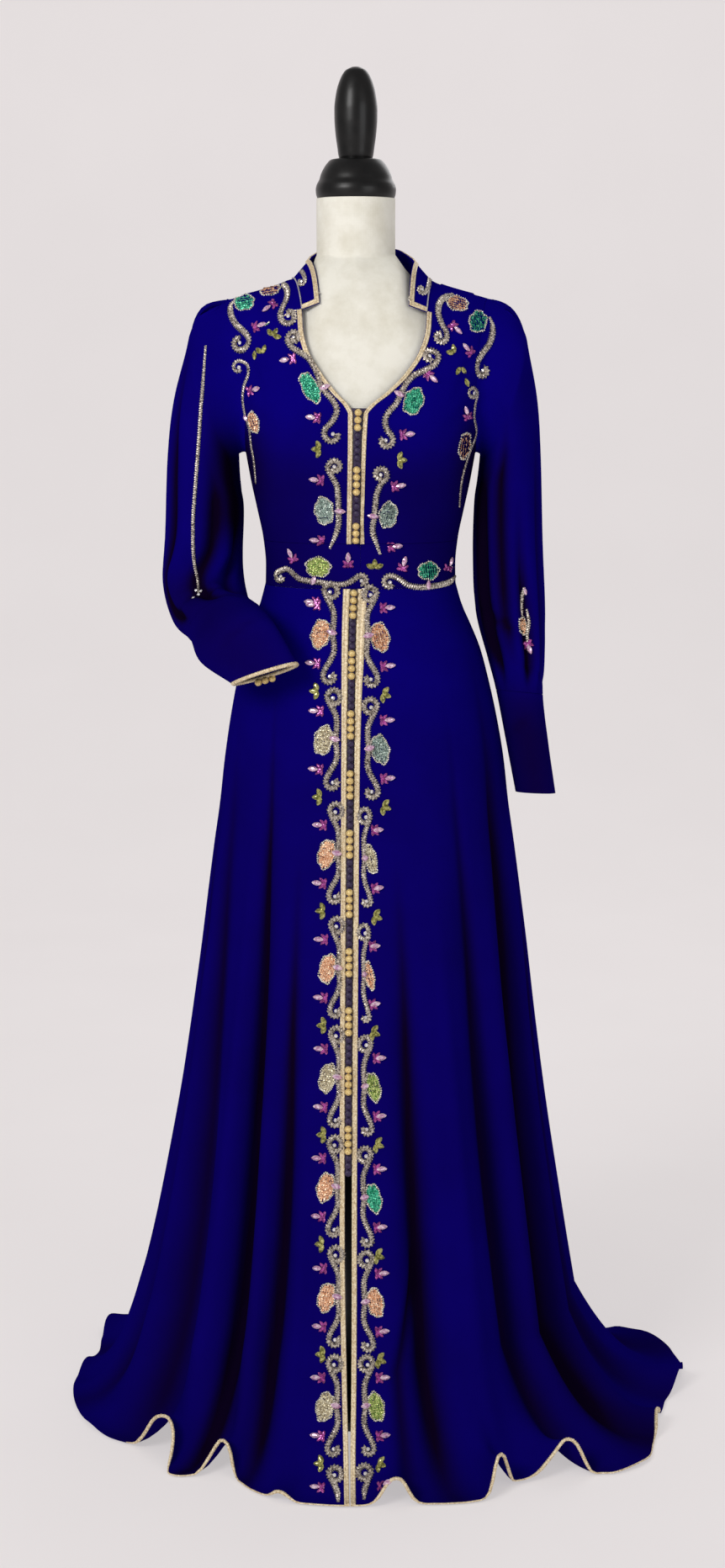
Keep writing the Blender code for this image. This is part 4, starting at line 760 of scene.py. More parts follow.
def creased_tube(tube, turns, seam, folds, creases, head):
    """The sleeve with its folds and its puffed head, its normals, and how deep in a fold each point lies,
    which feeds the painted shade of its folds.
    """
    shell = ring_normals(tube)
    degrees = np.degrees(turns)[None, :]
    along = (np.arange(len(tube)) / (len(tube) - 1))[:, None]
    sleeve_share = np.clip(np.arange(len(tube)) / seam, 0.0, 1.2)[:, None]
    moved = np.zeros(tube.shape[:2])
    for top, low, start, end, deep, width in folds:
        away = wrapped(degrees - (top + (low - top) * sleeve_share))
        grows = ease((sleeve_share - start) / 0.3) * ease((end - sleeve_share) / 0.16)
        moved += deep * grows * np.exp(-((away / width) ** 2)) * (sleeve_share < 1.0001)
    for turn, share, deep, wide, high, lean in creases:
        away = wrapped(degrees - turn)
        rise = along - share - lean * away
        moved += deep * np.exp(-((away / wide) ** 2) - (rise / high) ** 2)
    rings = np.arange(len(tube))[:, None]
    puff = np.exp(-(((degrees - HEAD_TURN) / 38.0) ** 2) - ((rings - HEAD_RING) / 4.5) ** 2)
    moved -= head * puff
    ends = ease(np.arange(len(tube)) / 5.0) * ease((len(tube) - 1 - np.arange(len(tube))) / 6.0)
    at_seam = 1 - 0.8 * np.exp(-((np.arange(len(tube)) - seam) / 2.2) ** 2)
    moved *= (ends * at_seam)[:, None]
    tube = tube - shell * moved[..., None]
    return tube, ring_normals(tube), np.clip(moved / 0.0095, 0.0, 1.0) ** 1.3


# Making meshes


def mesh_piece(name, points, faces, materials, indices=None, sharp=50.0):
    mesh = bpy.data.meshes.new(name)
    mesh.from_pydata(np.asarray(points).tolist(), [], faces)
    for material in materials:
        mesh.materials.append(material)
    if indices is not None:
        mesh.polygons.foreach_set("material_index", indices)
    mesh.update()
    mesh.shade_smooth()
    if sharp:
        mesh.set_sharp_from_angle(angle=math.radians(sharp))
    piece = bpy.data.objects.new(name, mesh)
    bpy.context.scene.collection.objects.link(piece)
    return piece


def shell_faces(rows, columns, closed):
    number = np.arange(rows * columns).reshape(rows, columns)
    if closed:
        number = np.concatenate([number, number[:, :1]], axis=1)
    shift = rows * columns
    top = np.stack([number[:-1, :-1], number[:-1, 1:], number[1:, 1:], number[1:, :-1]], axis=-1)
    top = top.reshape(-1, 4)
    faces = [top, top[:, ::-1] + shift]
    lines = [number[0], number[-1][::-1]]
    if not closed:
        lines += [number[::-1, 0], number[:, -1]]
    for line in lines:
        faces.append(np.stack([line[1:], line[:-1], line[:-1] + shift, line[1:] + shift], axis=-1))
    return np.concatenate(faces), len(top)


def shell_piece(name, outer, inner, materials, closed=False, sharp=50.0):
    """A closed shell between two grids of points."""
    faces, count = shell_faces(outer.shape[0], outer.shape[1], closed)
    points = np.concatenate([outer.reshape(-1, 3), inner.reshape(-1, 3)])
    corners = points[faces[:count]]
    normals = np.cross(corners[:, 2] - corners[:, 0], corners[:, 3] - corners[:, 1])
    apart = (outer - inner).reshape(-1, 3)[faces[:count, 0]]
    if (normals * apart).sum() < 0:
        faces = faces[:, ::-1]
    return mesh_piece(name, points, faces.tolist(), materials, sharp=sharp)


def cloth_piece(name, points, normals, thickness=SHELL, closed=False, inner=None, painted_shade=None):
    """A thin shell of crepe, with a point attribute of painted shade: how far each point's colour is
    darkened, 0 to 1.
    """
    inside = points - normals * thickness
    if inner is not None:
        inside[0] = inner
    piece = shell_piece(name, points, inside, [crepe], closed=closed)
    # Painted shade, kept on the points for the crepe's colour
    values = np.zeros(points.shape[:2]) if painted_shade is None else np.clip(painted_shade, 0.0, 1.0)
    layer = piece.data.attributes.new("painted_shade", "FLOAT", "POINT")
    layer.data.foreach_set("value", np.concatenate([values.ravel(), values.ravel()]).astype(np.float32))
    return piece


class Batch:
    """Many small copies gathered into one mesh."""

    def __init__(self):
        self.points, self.faces, self.indices, self.count = [], [], [], 0

    def add(self, points, faces, index=0):
        self.points.append(points)
        self.faces.append(faces + self.count)
        self.indices.append(np.full(len(faces), index, np.int32))
        self.count += len(points)

    def close(self, corners, index=0):
        """Faces between points that are in the batch already."""
        self.faces.append(corners)
        self.indices.append(np.full(len(corners), index, np.int32))

    def piece(self, name, materials, sharp=50.0):
        faces = [face for block in self.faces for face in block.tolist()]
        points, indices = np.concatenate(self.points), np.concatenate(self.indices)
        return mesh_piece(name, points, faces, materials, indices, sharp)


def ring_faces(rings, sides):
    number = np.arange(rings * sides).reshape(rings, sides)
    wrap = np.roll(number, -1, axis=1)
    return np.stack([number[:-1], wrap[:-1], wrap[1:], number[1:]], axis=-1).reshape(-1, 4)


def path_lengths(points):
    return np.concatenate([[0.0], np.cumsum(np.linalg.norm(np.diff(points, axis=0), axis=1))])


def read_along(values, lengths, at):
    """Columns of values along a path, read at the lengths given."""
    return np.stack([np.interp(at, lengths, values[:, k]) for k in range(values.shape[1])], axis=1)


def resampled(points, step, extra):
    """The path with points a given step apart, and other values along it read at the same places."""
    lengths = path_lengths(points)
    count = max(3, int(round(lengths[-1] / step)) + 1)
    at = np.linspace(0.0, lengths[-1], count)
    return read_along(points, lengths, at), read_along(extra, lengths, at)


def coil(batch, points, normals, wide, high, pitch, closed=False, depth=0.16):
    """A round cord along a path on the cloth, with the slanted ridges of a wound thread."""
    count, sides = len(points), 8
    if closed:
        tangent = unit(np.roll(points, -1, axis=0) - np.roll(points, 1, axis=0))
    else:
        tangent = unit(np.gradient(points, axis=0))
    across = unit(np.cross(normals, tangent))
    up = np.cross(tangent, across)
    turn = 2 * np.pi * np.arange(sides) / sides
    lengths = path_lengths(points)
    phase = 2 * np.pi * lengths[:, None] / pitch + turn[None, :]
    swell = 1 + depth * np.cos(phase)
    wide, high = np.broadcast_to(wide, count), np.broadcast_to(high, count)
    grid = (
        points[:, None]
        + across[:, None] * (np.cos(turn)[None, :] * wide[:, None] * swell)[..., None]
        + up[:, None] * (np.sin(turn)[None, :] * high[:, None] * swell)[..., None]
    )
    faces = ring_faces(count, sides)
    if closed:
        first, last = np.arange(sides), (count - 1) * sides + np.arange(sides)
        join = np.stack([last, np.roll(last, -1), np.roll(first, -1), first], axis=-1)
        batch.add(grid.reshape(-1, 3), np.concatenate([faces, join]))
        return
    tips = np.stack([points[0], points[-1]])
    batch.add(np.concatenate([grid.reshape(-1, 3), tips]), faces)
    start = batch.count - len(tips) - count * sides
    caps = []
    for k in range(sides):
        m = (k + 1) % sides
        caps.append((start + m, start + k, start + count * sides))
        last = start + (count - 1) * sides
        caps.append((last + k, last + m, start + count * sides + 1))
    batch.close(np.array(caps))


# Materials


def fill(node, settings):
    """Sets a node's inputs by their names."""
    for name, value in settings.items():
        node.inputs[name].default_value = value


def node_material(name):
    material = bpy.data.materials.new(name)
    material.use_nodes = True
    tree = material.node_tree
    return material, tree, tree.nodes["Principled BSDF"]


def noise(tree, scale, detail=2.0, roughness=0.5):
    where = tree.nodes.new("ShaderNodeTexCoord")
    node = tree.nodes.new("ShaderNodeTexNoise")
    fill(node, {"Scale": scale, "Detail": detail, "Roughness": roughness})
    tree.links.new(where.outputs["Object"], node.inputs["Vector"])
    return node.outputs["Fac"]


def ramp(tree, value, stops):
    node = tree.nodes.new("ShaderNodeValToRGB")
    node.color_ramp.elements[0].position, node.color_ramp.elements[0].color = stops[0]
    node.color_ramp.elements[1].position, node.color_ramp.elements[1].color = stops[-1]
    for place, colour in stops[1:-1]:
        node.color_ramp.elements.new(place).color = colour
    tree.links.new(value, node.inputs["Fac"])
    return node.outputs["Color"]


def bump(tree, shader, value, strength, distance):
    node = tree.nodes.new("ShaderNodeBump")
    fill(node, {"Strength": strength, "Distance": distance})
    tree.links.new(value, node.inputs["Height"])
    tree.links.new(node.outputs["Normal"], shader.inputs["Normal"])


def blended(tree, one, two, share):
    node = tree.nodes.new("ShaderNodeMath")
    node.operation = "MULTIPLY_ADD"
    node.inputs[1].default_value = share
    tree.links.new(one, node.inputs[0])
    tree.links.new(two, node.inputs[2])
    return node.outputs["Value"]


def uneven_gloss(tree, shader, value, low, high):
    """Roughness that goes from low to high with a value."""
    node = tree.nodes.new("ShaderNodeMapRange")
    fill(node, {"To Min": low, "To Max": high})
    tree.links.new(value, node.inputs["Value"])
    tree.links.new(node.outputs["Result"], shader.inputs["Roughness"])


def bands(tree, direction, settings):
    """Bands across one axis of the object."""
    where = tree.nodes.new("ShaderNodeTexCoord")
    node = tree.nodes.new("ShaderNodeTexWave")
    node.bands_direction = direction
    fill(node, settings)
    tree.links.new(where.outputs["Object"], node.inputs["Vector"])
    return node.outputs["Fac"]


def make_crepe():
    """Royal blue crepe: a fine pebbled weave, matt, with slow random changes of tone and shade painted into
    its folds.
    """
    material, tree, shader = node_material("royal_blue_crepe_cloth")
    slow = noise(tree, 9.0, 3.0, 0.55)
    fine = noise(tree, 900.0, 2.0, 0.6)
    colour = ramp(tree, slow, ((0.30, CREPE_DARK), (0.70, CREPE_LIGHT)))
    # Painted shade: a point attribute mixes the colour towards the painted shade colour
    painted_shade = tree.nodes.new("ShaderNodeAttribute")
    painted_shade.attribute_name = "painted_shade"
    painted_shade_mix = tree.nodes.new("ShaderNodeMix")
    painted_shade_mix.data_type = "RGBA"
    painted_shade_mix.inputs["B"].default_value = CREPE_PAINTED_SHADE_COLOUR
    tree.links.new(painted_shade.outputs["Fac"], painted_shade_mix.inputs["Factor"])
    tree.links.new(colour, painted_shade_mix.inputs["A"])
    tree.links.new(painted_shade_mix.outputs["Result"], shader.inputs["Base Color"])
    uneven_gloss(tree, shader, fine, 0.74, 0.90)
    shader.inputs["Specular IOR Level"].default_value = 0.0
    bump(tree, shader, blended(tree, fine, noise(tree, 260.0, 2.0, 0.5), 0.7), 0.22, 0.0006)
    return material


def make_thread(name, dark, light, rough, metallic, scale=420.0):
    """Wound or plaited thread: uneven colour from strand to strand and a fine ridge."""
    material, tree, shader = node_material(name)
    colour = ramp(tree, noise(tree, scale, 3.0, 0.6), ((0.34, dark), (0.66, light)))
    tree.links.new(colour, shader.inputs["Base Color"])
    fill(shader, {"Roughness": rough, "Metallic": metallic})
    bump(tree, shader, noise(tree, scale * 3.0, 2.0, 0.5), 0.35, 0.0004)
    return material


def make_stone(name, dark, light, rough=0.08, coat=0.6):
    """A cut glass stone with a foiled back: bright facets over a tinted body."""
    material, tree, shader = node_material(name)
    colour = ramp(tree, noise(tree, 310.0, 1.0, 0.5), ((0.38, dark), (0.64, light)))
    tree.links.new(colour, shader.inputs["Base Color"])
    fill(shader, {"Roughness": rough, "Metallic": 0.35, "Coat Weight": coat, "Coat Roughness": 0.04})
    bump(tree, shader, noise(tree, 520.0, 1.0, 0.5), 0.12, 0.0003)
    return material


def make_sequin(name, dark, light, painted_glint):
    """Small cup sequins: foil that changes from one to the next, with a painted glint in the brightest
    colour.
    """
    material, tree, shader = node_material(name)
    colour = ramp(tree, noise(tree, 480.0, 2.0, 0.7), ((0.36, dark), (0.50, light), (0.66, painted_glint)))
    tree.links.new(colour, shader.inputs["Base Color"])
    fill(shader, {"Roughness": 0.28, "Metallic": 0.45})
    bump(tree, shader, noise(tree, 900.0, 1.0, 0.5), 0.10, 0.0003)
    return material


def make_linen():
    """The form's cream linen: crossed threads, with a few slubs."""
    material, tree, shader = node_material("cream_linen_cover")
    weave = tree.nodes.new("ShaderNodeMath")
    weave.operation = "MAXIMUM"
    for k, direction in enumerate(("X", "Z")):
        settings = {"Scale": 190.0, "Distortion": 1.6, "Detail": 2.0, "Detail Scale": 2.5}
        tree.links.new(bands(tree, direction, settings), weave.inputs[k])
    colour = ramp(tree, noise(tree, 26.0, 5.0, 0.62), ((0.30, LINEN_DARK), (0.62, LINEN_LIGHT)))
    tree.links.new(colour, shader.inputs["Base Color"])
    fill(shader, {"Roughness": 0.88, "Sheen Weight": 0.08})
    bump(tree, shader, weave.outputs["Value"], 0.25, 0.0004)
    return material


def make_wood():
    """Black satin wood: turned, with a faint ring in the gloss."""
    material, tree, shader = node_material("black_satin_wood_turned")
    rings = bands(tree, "Z", {"Scale": 40.0, "Distortion": 2.0, "Detail": 3.0})
    grain = noise(tree, 60.0, 6.0, 0.6)
    colour = ramp(tree, grain, ((0.35, WOOD_DARK), (0.70, WOOD_LIGHT)))
    tree.links.new(colour, shader.inputs["Base Color"])
    uneven_gloss(tree, shader, grain, 0.30, 0.42)
    fill(shader, {"Specular IOR Level": 0.30, "Coat Weight": 0.06, "Coat Roughness": 0.18})
    bump(tree, shader, rings, 0.04, 0.0003)
    return material


def make_steel():
    """Black painted steel of the stand, a little worn in the gloss."""
    material, tree, shader = node_material("black_painted_steel")
    colour = ramp(tree, noise(tree, 34.0, 5.0, 0.6), ((0.32, STEEL_DARK), (0.72, STEEL_LIGHT)))
    tree.links.new(colour, shader.inputs["Base Color"])
    shader.inputs["Metallic"].default_value = 0.5
    uneven_gloss(tree, shader, noise(tree, 120.0, 3.0, 0.6), 0.34, 0.52)
    bump(tree, shader, noise(tree, 700.0, 2.0, 0.5), 0.06, 0.0003)
    return material


def make_floor():
    """The studio floor, seen from its upper side alone."""
    material, tree, shader = node_material("studio_floor")
    colour = ramp(tree, noise(tree, 3.0, 2.0, 0.5), ((0.3, FLOOR_DARK), (0.7, FLOOR_LIGHT)))
    tree.links.new(colour, shader.inputs["Base Color"])
    tree.links.new(colour, shader.inputs["Emission Color"])
    fill(shader, {"Emission Strength": FLOOR_GLOW, "Roughness": 0.95, "Specular IOR Level": 0.0})
    side = tree.nodes.new("ShaderNodeNewGeometry")
    clear = tree.nodes.new("ShaderNodeBsdfTransparent")
    either = tree.nodes.new("ShaderNodeMixShader")
    tree.links.new(side.outputs["Backfacing"], either.inputs[0])
    tree.links.new(shader.outputs["BSDF"], either.inputs[1])
    tree.links.new(clear.outputs["BSDF"], either.inputs[2])
    tree.links.new(either.outputs["Shader"], tree.nodes["Material Output"].inputs["Surface"])
    return material


CREPE_DARK = (0.0030, 0.0005, 0.150, 1.0)
CREPE_LIGHT = (0.0034, 0.0006, 0.185, 1.0)
# The colour the crepe is darkened to where shade is painted into its folds
CREPE_PAINTED_SHADE_COLOUR = (0.0040, 0.0008, 0.012, 1.0)
LINEN_DARK = (0.70, 0.67, 0.56, 1.0)
LINEN_LIGHT = (0.84, 0.82, 0.73, 1.0)
WOOD_DARK = (0.0020, 0.0020, 0.0022, 1.0)
WOOD_LIGHT = (0.0060, 0.0055, 0.0055, 1.0)
STEEL_DARK = (0.010, 0.010, 0.011, 1.0)
STEEL_LIGHT = (0.024, 0.024, 0.026, 1.0)
FLOOR_DARK = (0.368, 0.350, 0.350, 1.0)
FLOOR_LIGHT = (0.373, 0.355, 0.355, 1.0)
FLOOR_GLOW = 1.35

crepe = make_crepe()
# Threads: name, dark, light, roughness, metallic, scale of the strands
braid_gold, knot_gold, knot_dark, silver_cord, bullion_painted_sparkle = [make_thread(*row) for row in (
    ("pale_gold_plait", (0.5, 0.36, 0.19, 1.0), (0.9, 0.78, 0.55, 1.0), 0.46, 0.2),
    ("pale_gold_knot_cord", (0.55, 0.36, 0.1, 1.0), (0.92, 0.72, 0.34, 1.0), 0.42, 0.25, 520.0),
    ("dark_knot_cord", (0.006, 0.002, 0.02, 1.0), (0.03, 0.01, 0.07, 1.0), 0.5, 0.0, 520.0),
    ("silver_seam_cord", (0.3, 0.27, 0.3, 1.0), (0.62, 0.58, 0.62, 1.0), 0.4, 0.3, 520.0),
    # The bullion's colour runs over bronze and silver strands, its near-black and pale ends painted as
    # shadow and sparkle
    ("bronze_silver_bullion_painted_sparkle", (0.045, 0.026, 0.024, 1.0), (0.8, 0.72, 0.62, 1.0), 0.28, 0.55, 430.0),
)]
# Stones: name, dark, light, roughness, coat
seed_beads, rhinestone, pink_white_stone, magenta_stone, leaf_stone = [make_stone(*row) for row in (
    ("silver_seed_beads", (0.42, 0.38, 0.3, 1.0), (0.86, 0.82, 0.72, 1.0), 0.16, 0.4),
    ("clear_rhinestone", (0.7, 0.66, 0.66, 1.0), (0.97, 0.95, 0.95, 1.0)),
    ("pale_pink_marquise", (0.52, 0.24, 0.42, 1.0), (0.88, 0.68, 0.8, 1.0)),
    ("magenta_petal", (0.16, 0.012, 0.13, 1.0), (0.5, 0.08, 0.38, 1.0)),
    ("yellow_green_leaf", (0.13, 0.13, 0.015, 1.0), (0.52, 0.49, 0.16, 1.0)),
)]
# Sequins: name, dark, light, painted glint
sequin_peach, sequin_gold, sequin_emerald, sequin_grey, sequin_lime = [make_sequin(*row) for row in (
    ("peach_sequins", (0.52, 0.2, 0.08, 1.0), (0.86, 0.46, 0.26, 1.0), (0.95, 0.78, 0.58, 1.0)),
    ("grey_gold_sequins", (0.26, 0.2, 0.11, 1.0), (0.56, 0.48, 0.3, 1.0), (0.85, 0.8, 0.62, 1.0)),
    ("emerald_sequins", (0.005, 0.16, 0.09, 1.0), (0.02, 0.46, 0.26, 1.0), (0.25, 0.8, 0.5, 1.0)),
    ("grey_green_sequins", (0.1, 0.15, 0.13, 1.0), (0.27, 0.37, 0.32, 1.0), (0.66, 0.74, 0.66, 1.0)),
    ("yellow_green_sequins", (0.1, 0.2, 0.03, 1.0), (0.34, 0.46, 0.1, 1.0), (0.8, 0.78, 0.34, 1.0)),
)]
linen = make_linen()
wood = make_wood()
steel = make_steel()
floor_grey = make_floor()


# Camera: read off the photograph once, in metres and pixels of its full frame

PHOTO_WIDTH = 862
PHOTO_HEIGHT = 1864
CAMERA_PLACE = (0.0085, -3.4, 1.40)
CAMERA_PITCH = 9.41
CAMERA_FOCUS = 3083.0
SENSOR = 36.0


def make_camera():
    data = bpy.data.cameras.new("camera")
    data.sensor_width = SENSOR
    data.lens = CAMERA_FOCUS / PHOTO_HEIGHT * SENSOR
    data.clip_start, data.clip_end = 0.05, 60.0
    camera = bpy.data.objects.new("camera", data)
    camera.location = CAMERA_PLACE
    camera.rotation_euler = (math.radians(90.0 - CAMERA_PITCH), 0.0, 0.0)
    bpy.context.scene.collection.objects.link(camera)
    bpy.context.scene.camera = camera


def pixel_ray(px, py):
    pitch = math.radians(CAMERA_PITCH)
    ahead = Vector((0.0, math.cos(pitch), -math.sin(pitch)))
    up = Vector((0.0, math.sin(pitch), math.cos(pitch)))
    aside = Vector((1.0, 0.0, 0.0))
    right, high = (px - PHOTO_WIDTH / 2) / CAMERA_FOCUS, (PHOTO_HEIGHT / 2 - py) / CAMERA_FOCUS
    return (ahead + aside * right + up * high).normalized()


make_camera()


# The cloth

panels = {"right": fine_front(-1), "left": fine_front(1), "back": fine_back()}
# Each crepe piece carries its painted shade
bodice_right, bodice_left, bodice_back = [
    cloth_piece("bodice_" + name + "_cloth", *panels[name], painted_shade=bodice_painted_shade(panels[name][0]))
    for name in ("right", "left", "back")
]

band_grid = np.meshgrid(np.linspace(0.02, 359.98, 240), np.linspace(BAND_BOTTOM, BAND_TOP, 14))
band_points, band_normals = grid_of(torso, *band_grid)
band_normals = outward(band_points, band_normals, np.array([BODICE_CENTRE, 0.0, 1.13]))
waistband = cloth_piece("waistband_cloth", band_points, band_normals, painted_shade=bodice_painted_shade(band_points))

skirts = fine_skirt()
skirt_pieces = {
    name: cloth_piece("skirt_" + name + "_cloth", grid[0], grid[1], painted_shade=skirt_painted_shade(grid[2], grid[3]))
    for name, grid in skirts.items()
}

sleeves = {}
for side, name, table, folds, creases in (
    (-1, "right", SLEEVE_RIGHT, SLEEVE_FOLDS_RIGHT, SLEEVE_CREASES_RIGHT),
    (1, "left", SLEEVE_LEFT, SLEEVE_FOLDS_LEFT, SLEEVE_CREASES_LEFT),
):
    tube, turns, seam, start_inner = fine_tube(side, panels, table)
    tube, shell, painted_shade = creased_tube(tube, turns, seam, folds, creases, HEADS[name])
    # Painted shade of the sleeve: the depth of its folds and its bands
    painted_shade = painted_shade * 0.8 + sleeve_painted_shade(len(tube), turns, seam, SLEEVE_PAINTED_SHADE_BANDS[name])
    onward = tube[-1] - tube[-2]
    onward = unit(onward - shell[-1] * (onward * shell[-1]).sum(axis=-1, keepdims=True))
    sleeve = cloth_piece(
        "sleeve_" + name + "_cloth", tube[: seam + 1], shell[: seam + 1], closed=True, inner=start_inner,
        painted_shade=painted_shade[: seam + 1],
    )
    cuff_tube = tube[seam:].copy()
    cuff_tube[0] += unit(tube[seam + 1] - tube[seam]) * SEAM_GAP
    cuff = cloth_piece("cuff_" + name + "_cloth", cuff_tube, shell[seam:], closed=True, painted_shade=painted_shade[seam:])
    sleeves[name] = {"tube": tube, "shell": shell, "onward": onward, "sleeve": sleeve, "cuff": cuff}


def collar_surface(panels):
    """Outer grid of the collar, dense both ways, with its normals and the height of each column."""
    notch = fine_notch()
    right, left, back = panels["right"], panels["left"], panels["back"]
    half = back[0].shape[1] // 2
    away = np.linalg.norm(back[0][-1] - back[0][-1, half], axis=-1)
    neck = np.linalg.norm(back[0][-1, half] - right[0][-1, 0])
    middle = np.flatnonzero(away < neck - 0.004)
    seam = np.concatenate([right[0][notch:-3, 0], back[0][-1, middle], left[0][notch:-3, 0][::-1]])
    normals = np.concatenate([right[1][notch:-3, 0], back[1][-1, middle], left[1][notch:-3, 0][::-1]])
    inside = np.concatenate([
        right[0][notch:-3, 0] - right[0][notch:-3, 1],
        back[0][-1, middle] - back[0][-2, middle],
        (left[0][notch:-3, 0] - left[0][notch:-3, 1])[::-1],
    ])
    seam, both = resampled(seam, 0.003, np.concatenate([normals, inside], axis=1))
    normals, inside = unit(both[:, :3]), both[:, 3:]
    onward = np.cross(np.gradient(seam, axis=0), normals)
    onward *= np.sign((onward * inside).sum(axis=-1, keepdims=True))
    onward = unit(onward)
    base = seam + onward * SEAM_GAP * 2
    share = path_lengths(seam)
    share = share / share[-1]
    high, lean = column(COLLAR, 1, share), column(COLLAR, 2, share)
    behind = np.where(base[:, 1] > 0, -base[:, 1], -0.024)
    behind = -0.024 + (behind + 0.024) * ease((base[:, 1] + 0.012) / 0.024)
    toward = unit(np.stack([BODICE_CENTRE - base[:, 0], behind, np.zeros(len(base))], axis=1))
    rise = toward * lean[:, None] + np.array([0.0, 0.0, 1.0]) * np.sqrt(1 - lean[:, None] ** 2)
    kernel = np.array([1.0, 2.0, 3.0, 4.0, 3.0, 2.0, 1.0]) / 16
    for k in range(3):
        padded = np.pad(rise[:, k], 3, mode="edge")
        rise[:, k] = np.convolve(padded, kernel, mode="valid")
    rise = unit(rise)
    levels = np.linspace(0.0, 1.0, 12)
    outer = np.stack([base + rise * (high * level)[:, None] for level in levels])
    shell = unit(np.cross(np.gradient(outer, axis=1), np.gradient(outer, axis=0)))
    shell *= np.sign((shell[0] * normals).sum(axis=-1).mean())
    return outer, shell, base, rise, high


collar_points, collar_normals, collar_base, collar_rise, collar_high = collar_surface(panels)
collar = cloth_piece("collar_cloth", collar_points, collar_normals, thickness=0.0019)


# Braids, pipings and knots

BRAID_PITCH = 0.0030
BRAID_STEP = 0.0010
BRAID_HIGH = 0.0017
BRAID_LIFT = 0.0003


def braid_grid(points, normals):
    """Outer and inner grids of a flat plait of two ridges. The points run along it, and across it."""
    lengths = path_lengths(points[:, points.shape[1] // 2])
    share = np.linspace(0.0, 1.0, points.shape[1])[None, :]
    ridge = np.abs(np.sin(2 * np.pi * share)) ** 0.55
    within = np.where(share < 0.5, share * 2, 2 - share * 2)
    twist = 0.5 + 0.5 * np.cos(2 * np.pi * (lengths[:, None] / BRAID_PITCH - within * 0.8))
    rise = BRAID_LIFT + 0.0004 + (BRAID_HIGH - 0.0004) * ridge * (0.72 + 0.28 * twist)
    rise[:, 0] = rise[:, -1] = BRAID_LIFT + 0.0003
    return points + normals * rise[..., None], points - normals * 0.0001


def braid_piece(name, points, normals):
    outer, inner = braid_grid(*resampled_grid(points, normals))
    return shell_piece(name, outer, inner, [braid_gold], sharp=0)


def resampled_grid(points, normals):
    """A grid whose rows run along a braid, resampled to even steps by its middle column."""
    lengths = path_lengths(points[:, points.shape[1] // 2])
    at = np.linspace(0.0, lengths[-1], int(round(lengths[-1] / BRAID_STEP)) + 1)
    points, normals = [
        np.stack([read_along(grid[:, c], lengths, at) for c in range(grid.shape[1])], axis=1)
        for grid in (points, normals)
    ]
    return points, unit(normals)


ACROSS = np.linspace(0.0, 1.0, 11)
trims = {}
for side, name in ((-1, "right"), (1, "left")):
    rows = np.linspace(0.0, fine_rows()[fine_notch()], 260)
    first = braid_share(side, rows)
    u, v = first[:, None] * ACROSS[None, :], rows[:, None] * np.ones(len(ACROSS))
    points, normals = grid_of(lambda a, b: panel_points(side, a, b), u, v)
    normals = outward(points, normals, CHEST)
    points = points - np.array([0.0, SEAM_GAP / 2, 0.0])
    trims["bodice_" + name] = braid_piece("bodice_" + name + "_plait", points, normals)
    down = np.linspace(0.0, 2.0, 420)
    edge = closing_edge(side, down)
    width = np.degrees(BRAID_WIDTH / np.linalg.norm(skirt(edge, down)[:, :2], axis=-1))
    angles = edge[:, None] + side * width[:, None] * ACROSS[None, :]
    points, normals = grid_of(skirt, angles, down[:, None] * np.ones(len(ACROSS)))
    normals = outward(points, normals, SKIRT_MIDDLE)
    trims["skirt_" + name] = braid_piece("skirt_" + name + "_plait", points, normals)

low_share = 1 - BRAID_WIDTH / collar_high
levels = low_share[:, None] + (1 - low_share[:, None]) * ACROSS[None, :]
top_points = collar_base[:, None] + collar_rise[:, None] * (levels * collar_high[:, None])[..., None]
top_normals = np.repeat(collar_normals[-2][:, None], len(ACROSS), axis=1)
trims["collar_top"] = braid_piece("collar_top_plait", top_points, top_normals)
for end, name in ((0, "right"), (-1, "left")):
    order = slice(None) if end == 0 else slice(None, None, -1)
    base, rise, high = collar_base[order], collar_rise[order], collar_high[order]
    lengths = path_lengths(base)
    rows = np.linspace(0.0, 1.0, 24)
    at = ACROSS * BRAID_WIDTH
    foot, lift = read_along(base, lengths, at), unit(read_along(rise, lengths, at))
    tall = np.interp(at, lengths, high)
    points = foot[None] + lift[None] * (rows[:, None] * tall[None, :])[..., None]
    normals = np.repeat(read_along(collar_normals[5][order], lengths, at)[None], len(rows), axis=0)
    trims["collar_" + name] = braid_piece("collar_" + name + "_end_plait", points, unit(normals))

piping = Batch()
line, along = resampled(collar_base, 0.0008, collar_normals[0])
coil(piping, line + unit(along) * 0.0009, unit(along), 0.0009, 0.0009, 0.0022)
trims["collar_piping"] = piping.piece("collar_seam_piping", [silver_cord], sharp=0)


def gold_shown(angle):
    """How much of the hem's piping shows: the hem rolls under at the sides and behind."""
    here = wrapped(angle)
    front = ease((here + 56.0) / 3.0) * ease((74.0 - here) / 4.0)
    return front * (0.28 + 0.72 * ease(hem_lift(here) / 0.010))


for name, grid in skirts.items():
    points, normals = grid[0], grid[1]
    outer, under = points[-1], points[-1] - normals[-1] * SHELL
    across = np.cross(np.gradient(points[-1], axis=0), normals[-1])
    across *= np.sign((across * (points[-1] - points[-4])).sum(axis=-1, keepdims=True))
    turned_out = gold_shown(grid[2][-1])
    middle = (outer + under) / 2 + unit(across) * (0.0018 * turned_out - 0.0010 * (1 - turned_out))[:, None]
    middle, along = resampled(middle, 0.0011, np.concatenate([normals[-1], turned_out[:, None]], axis=1))
    size = 0.0006 + 0.0017 * np.clip(along[:, 3], 0.0, 1.0)
    batch = Batch()
    coil(batch, middle, unit(along[:, :3]), size, size * 0.92, BRAID_PITCH)
    trims["hem_" + name] = batch.piece("hem_" + name + "_piping", [braid_gold], sharp=0)

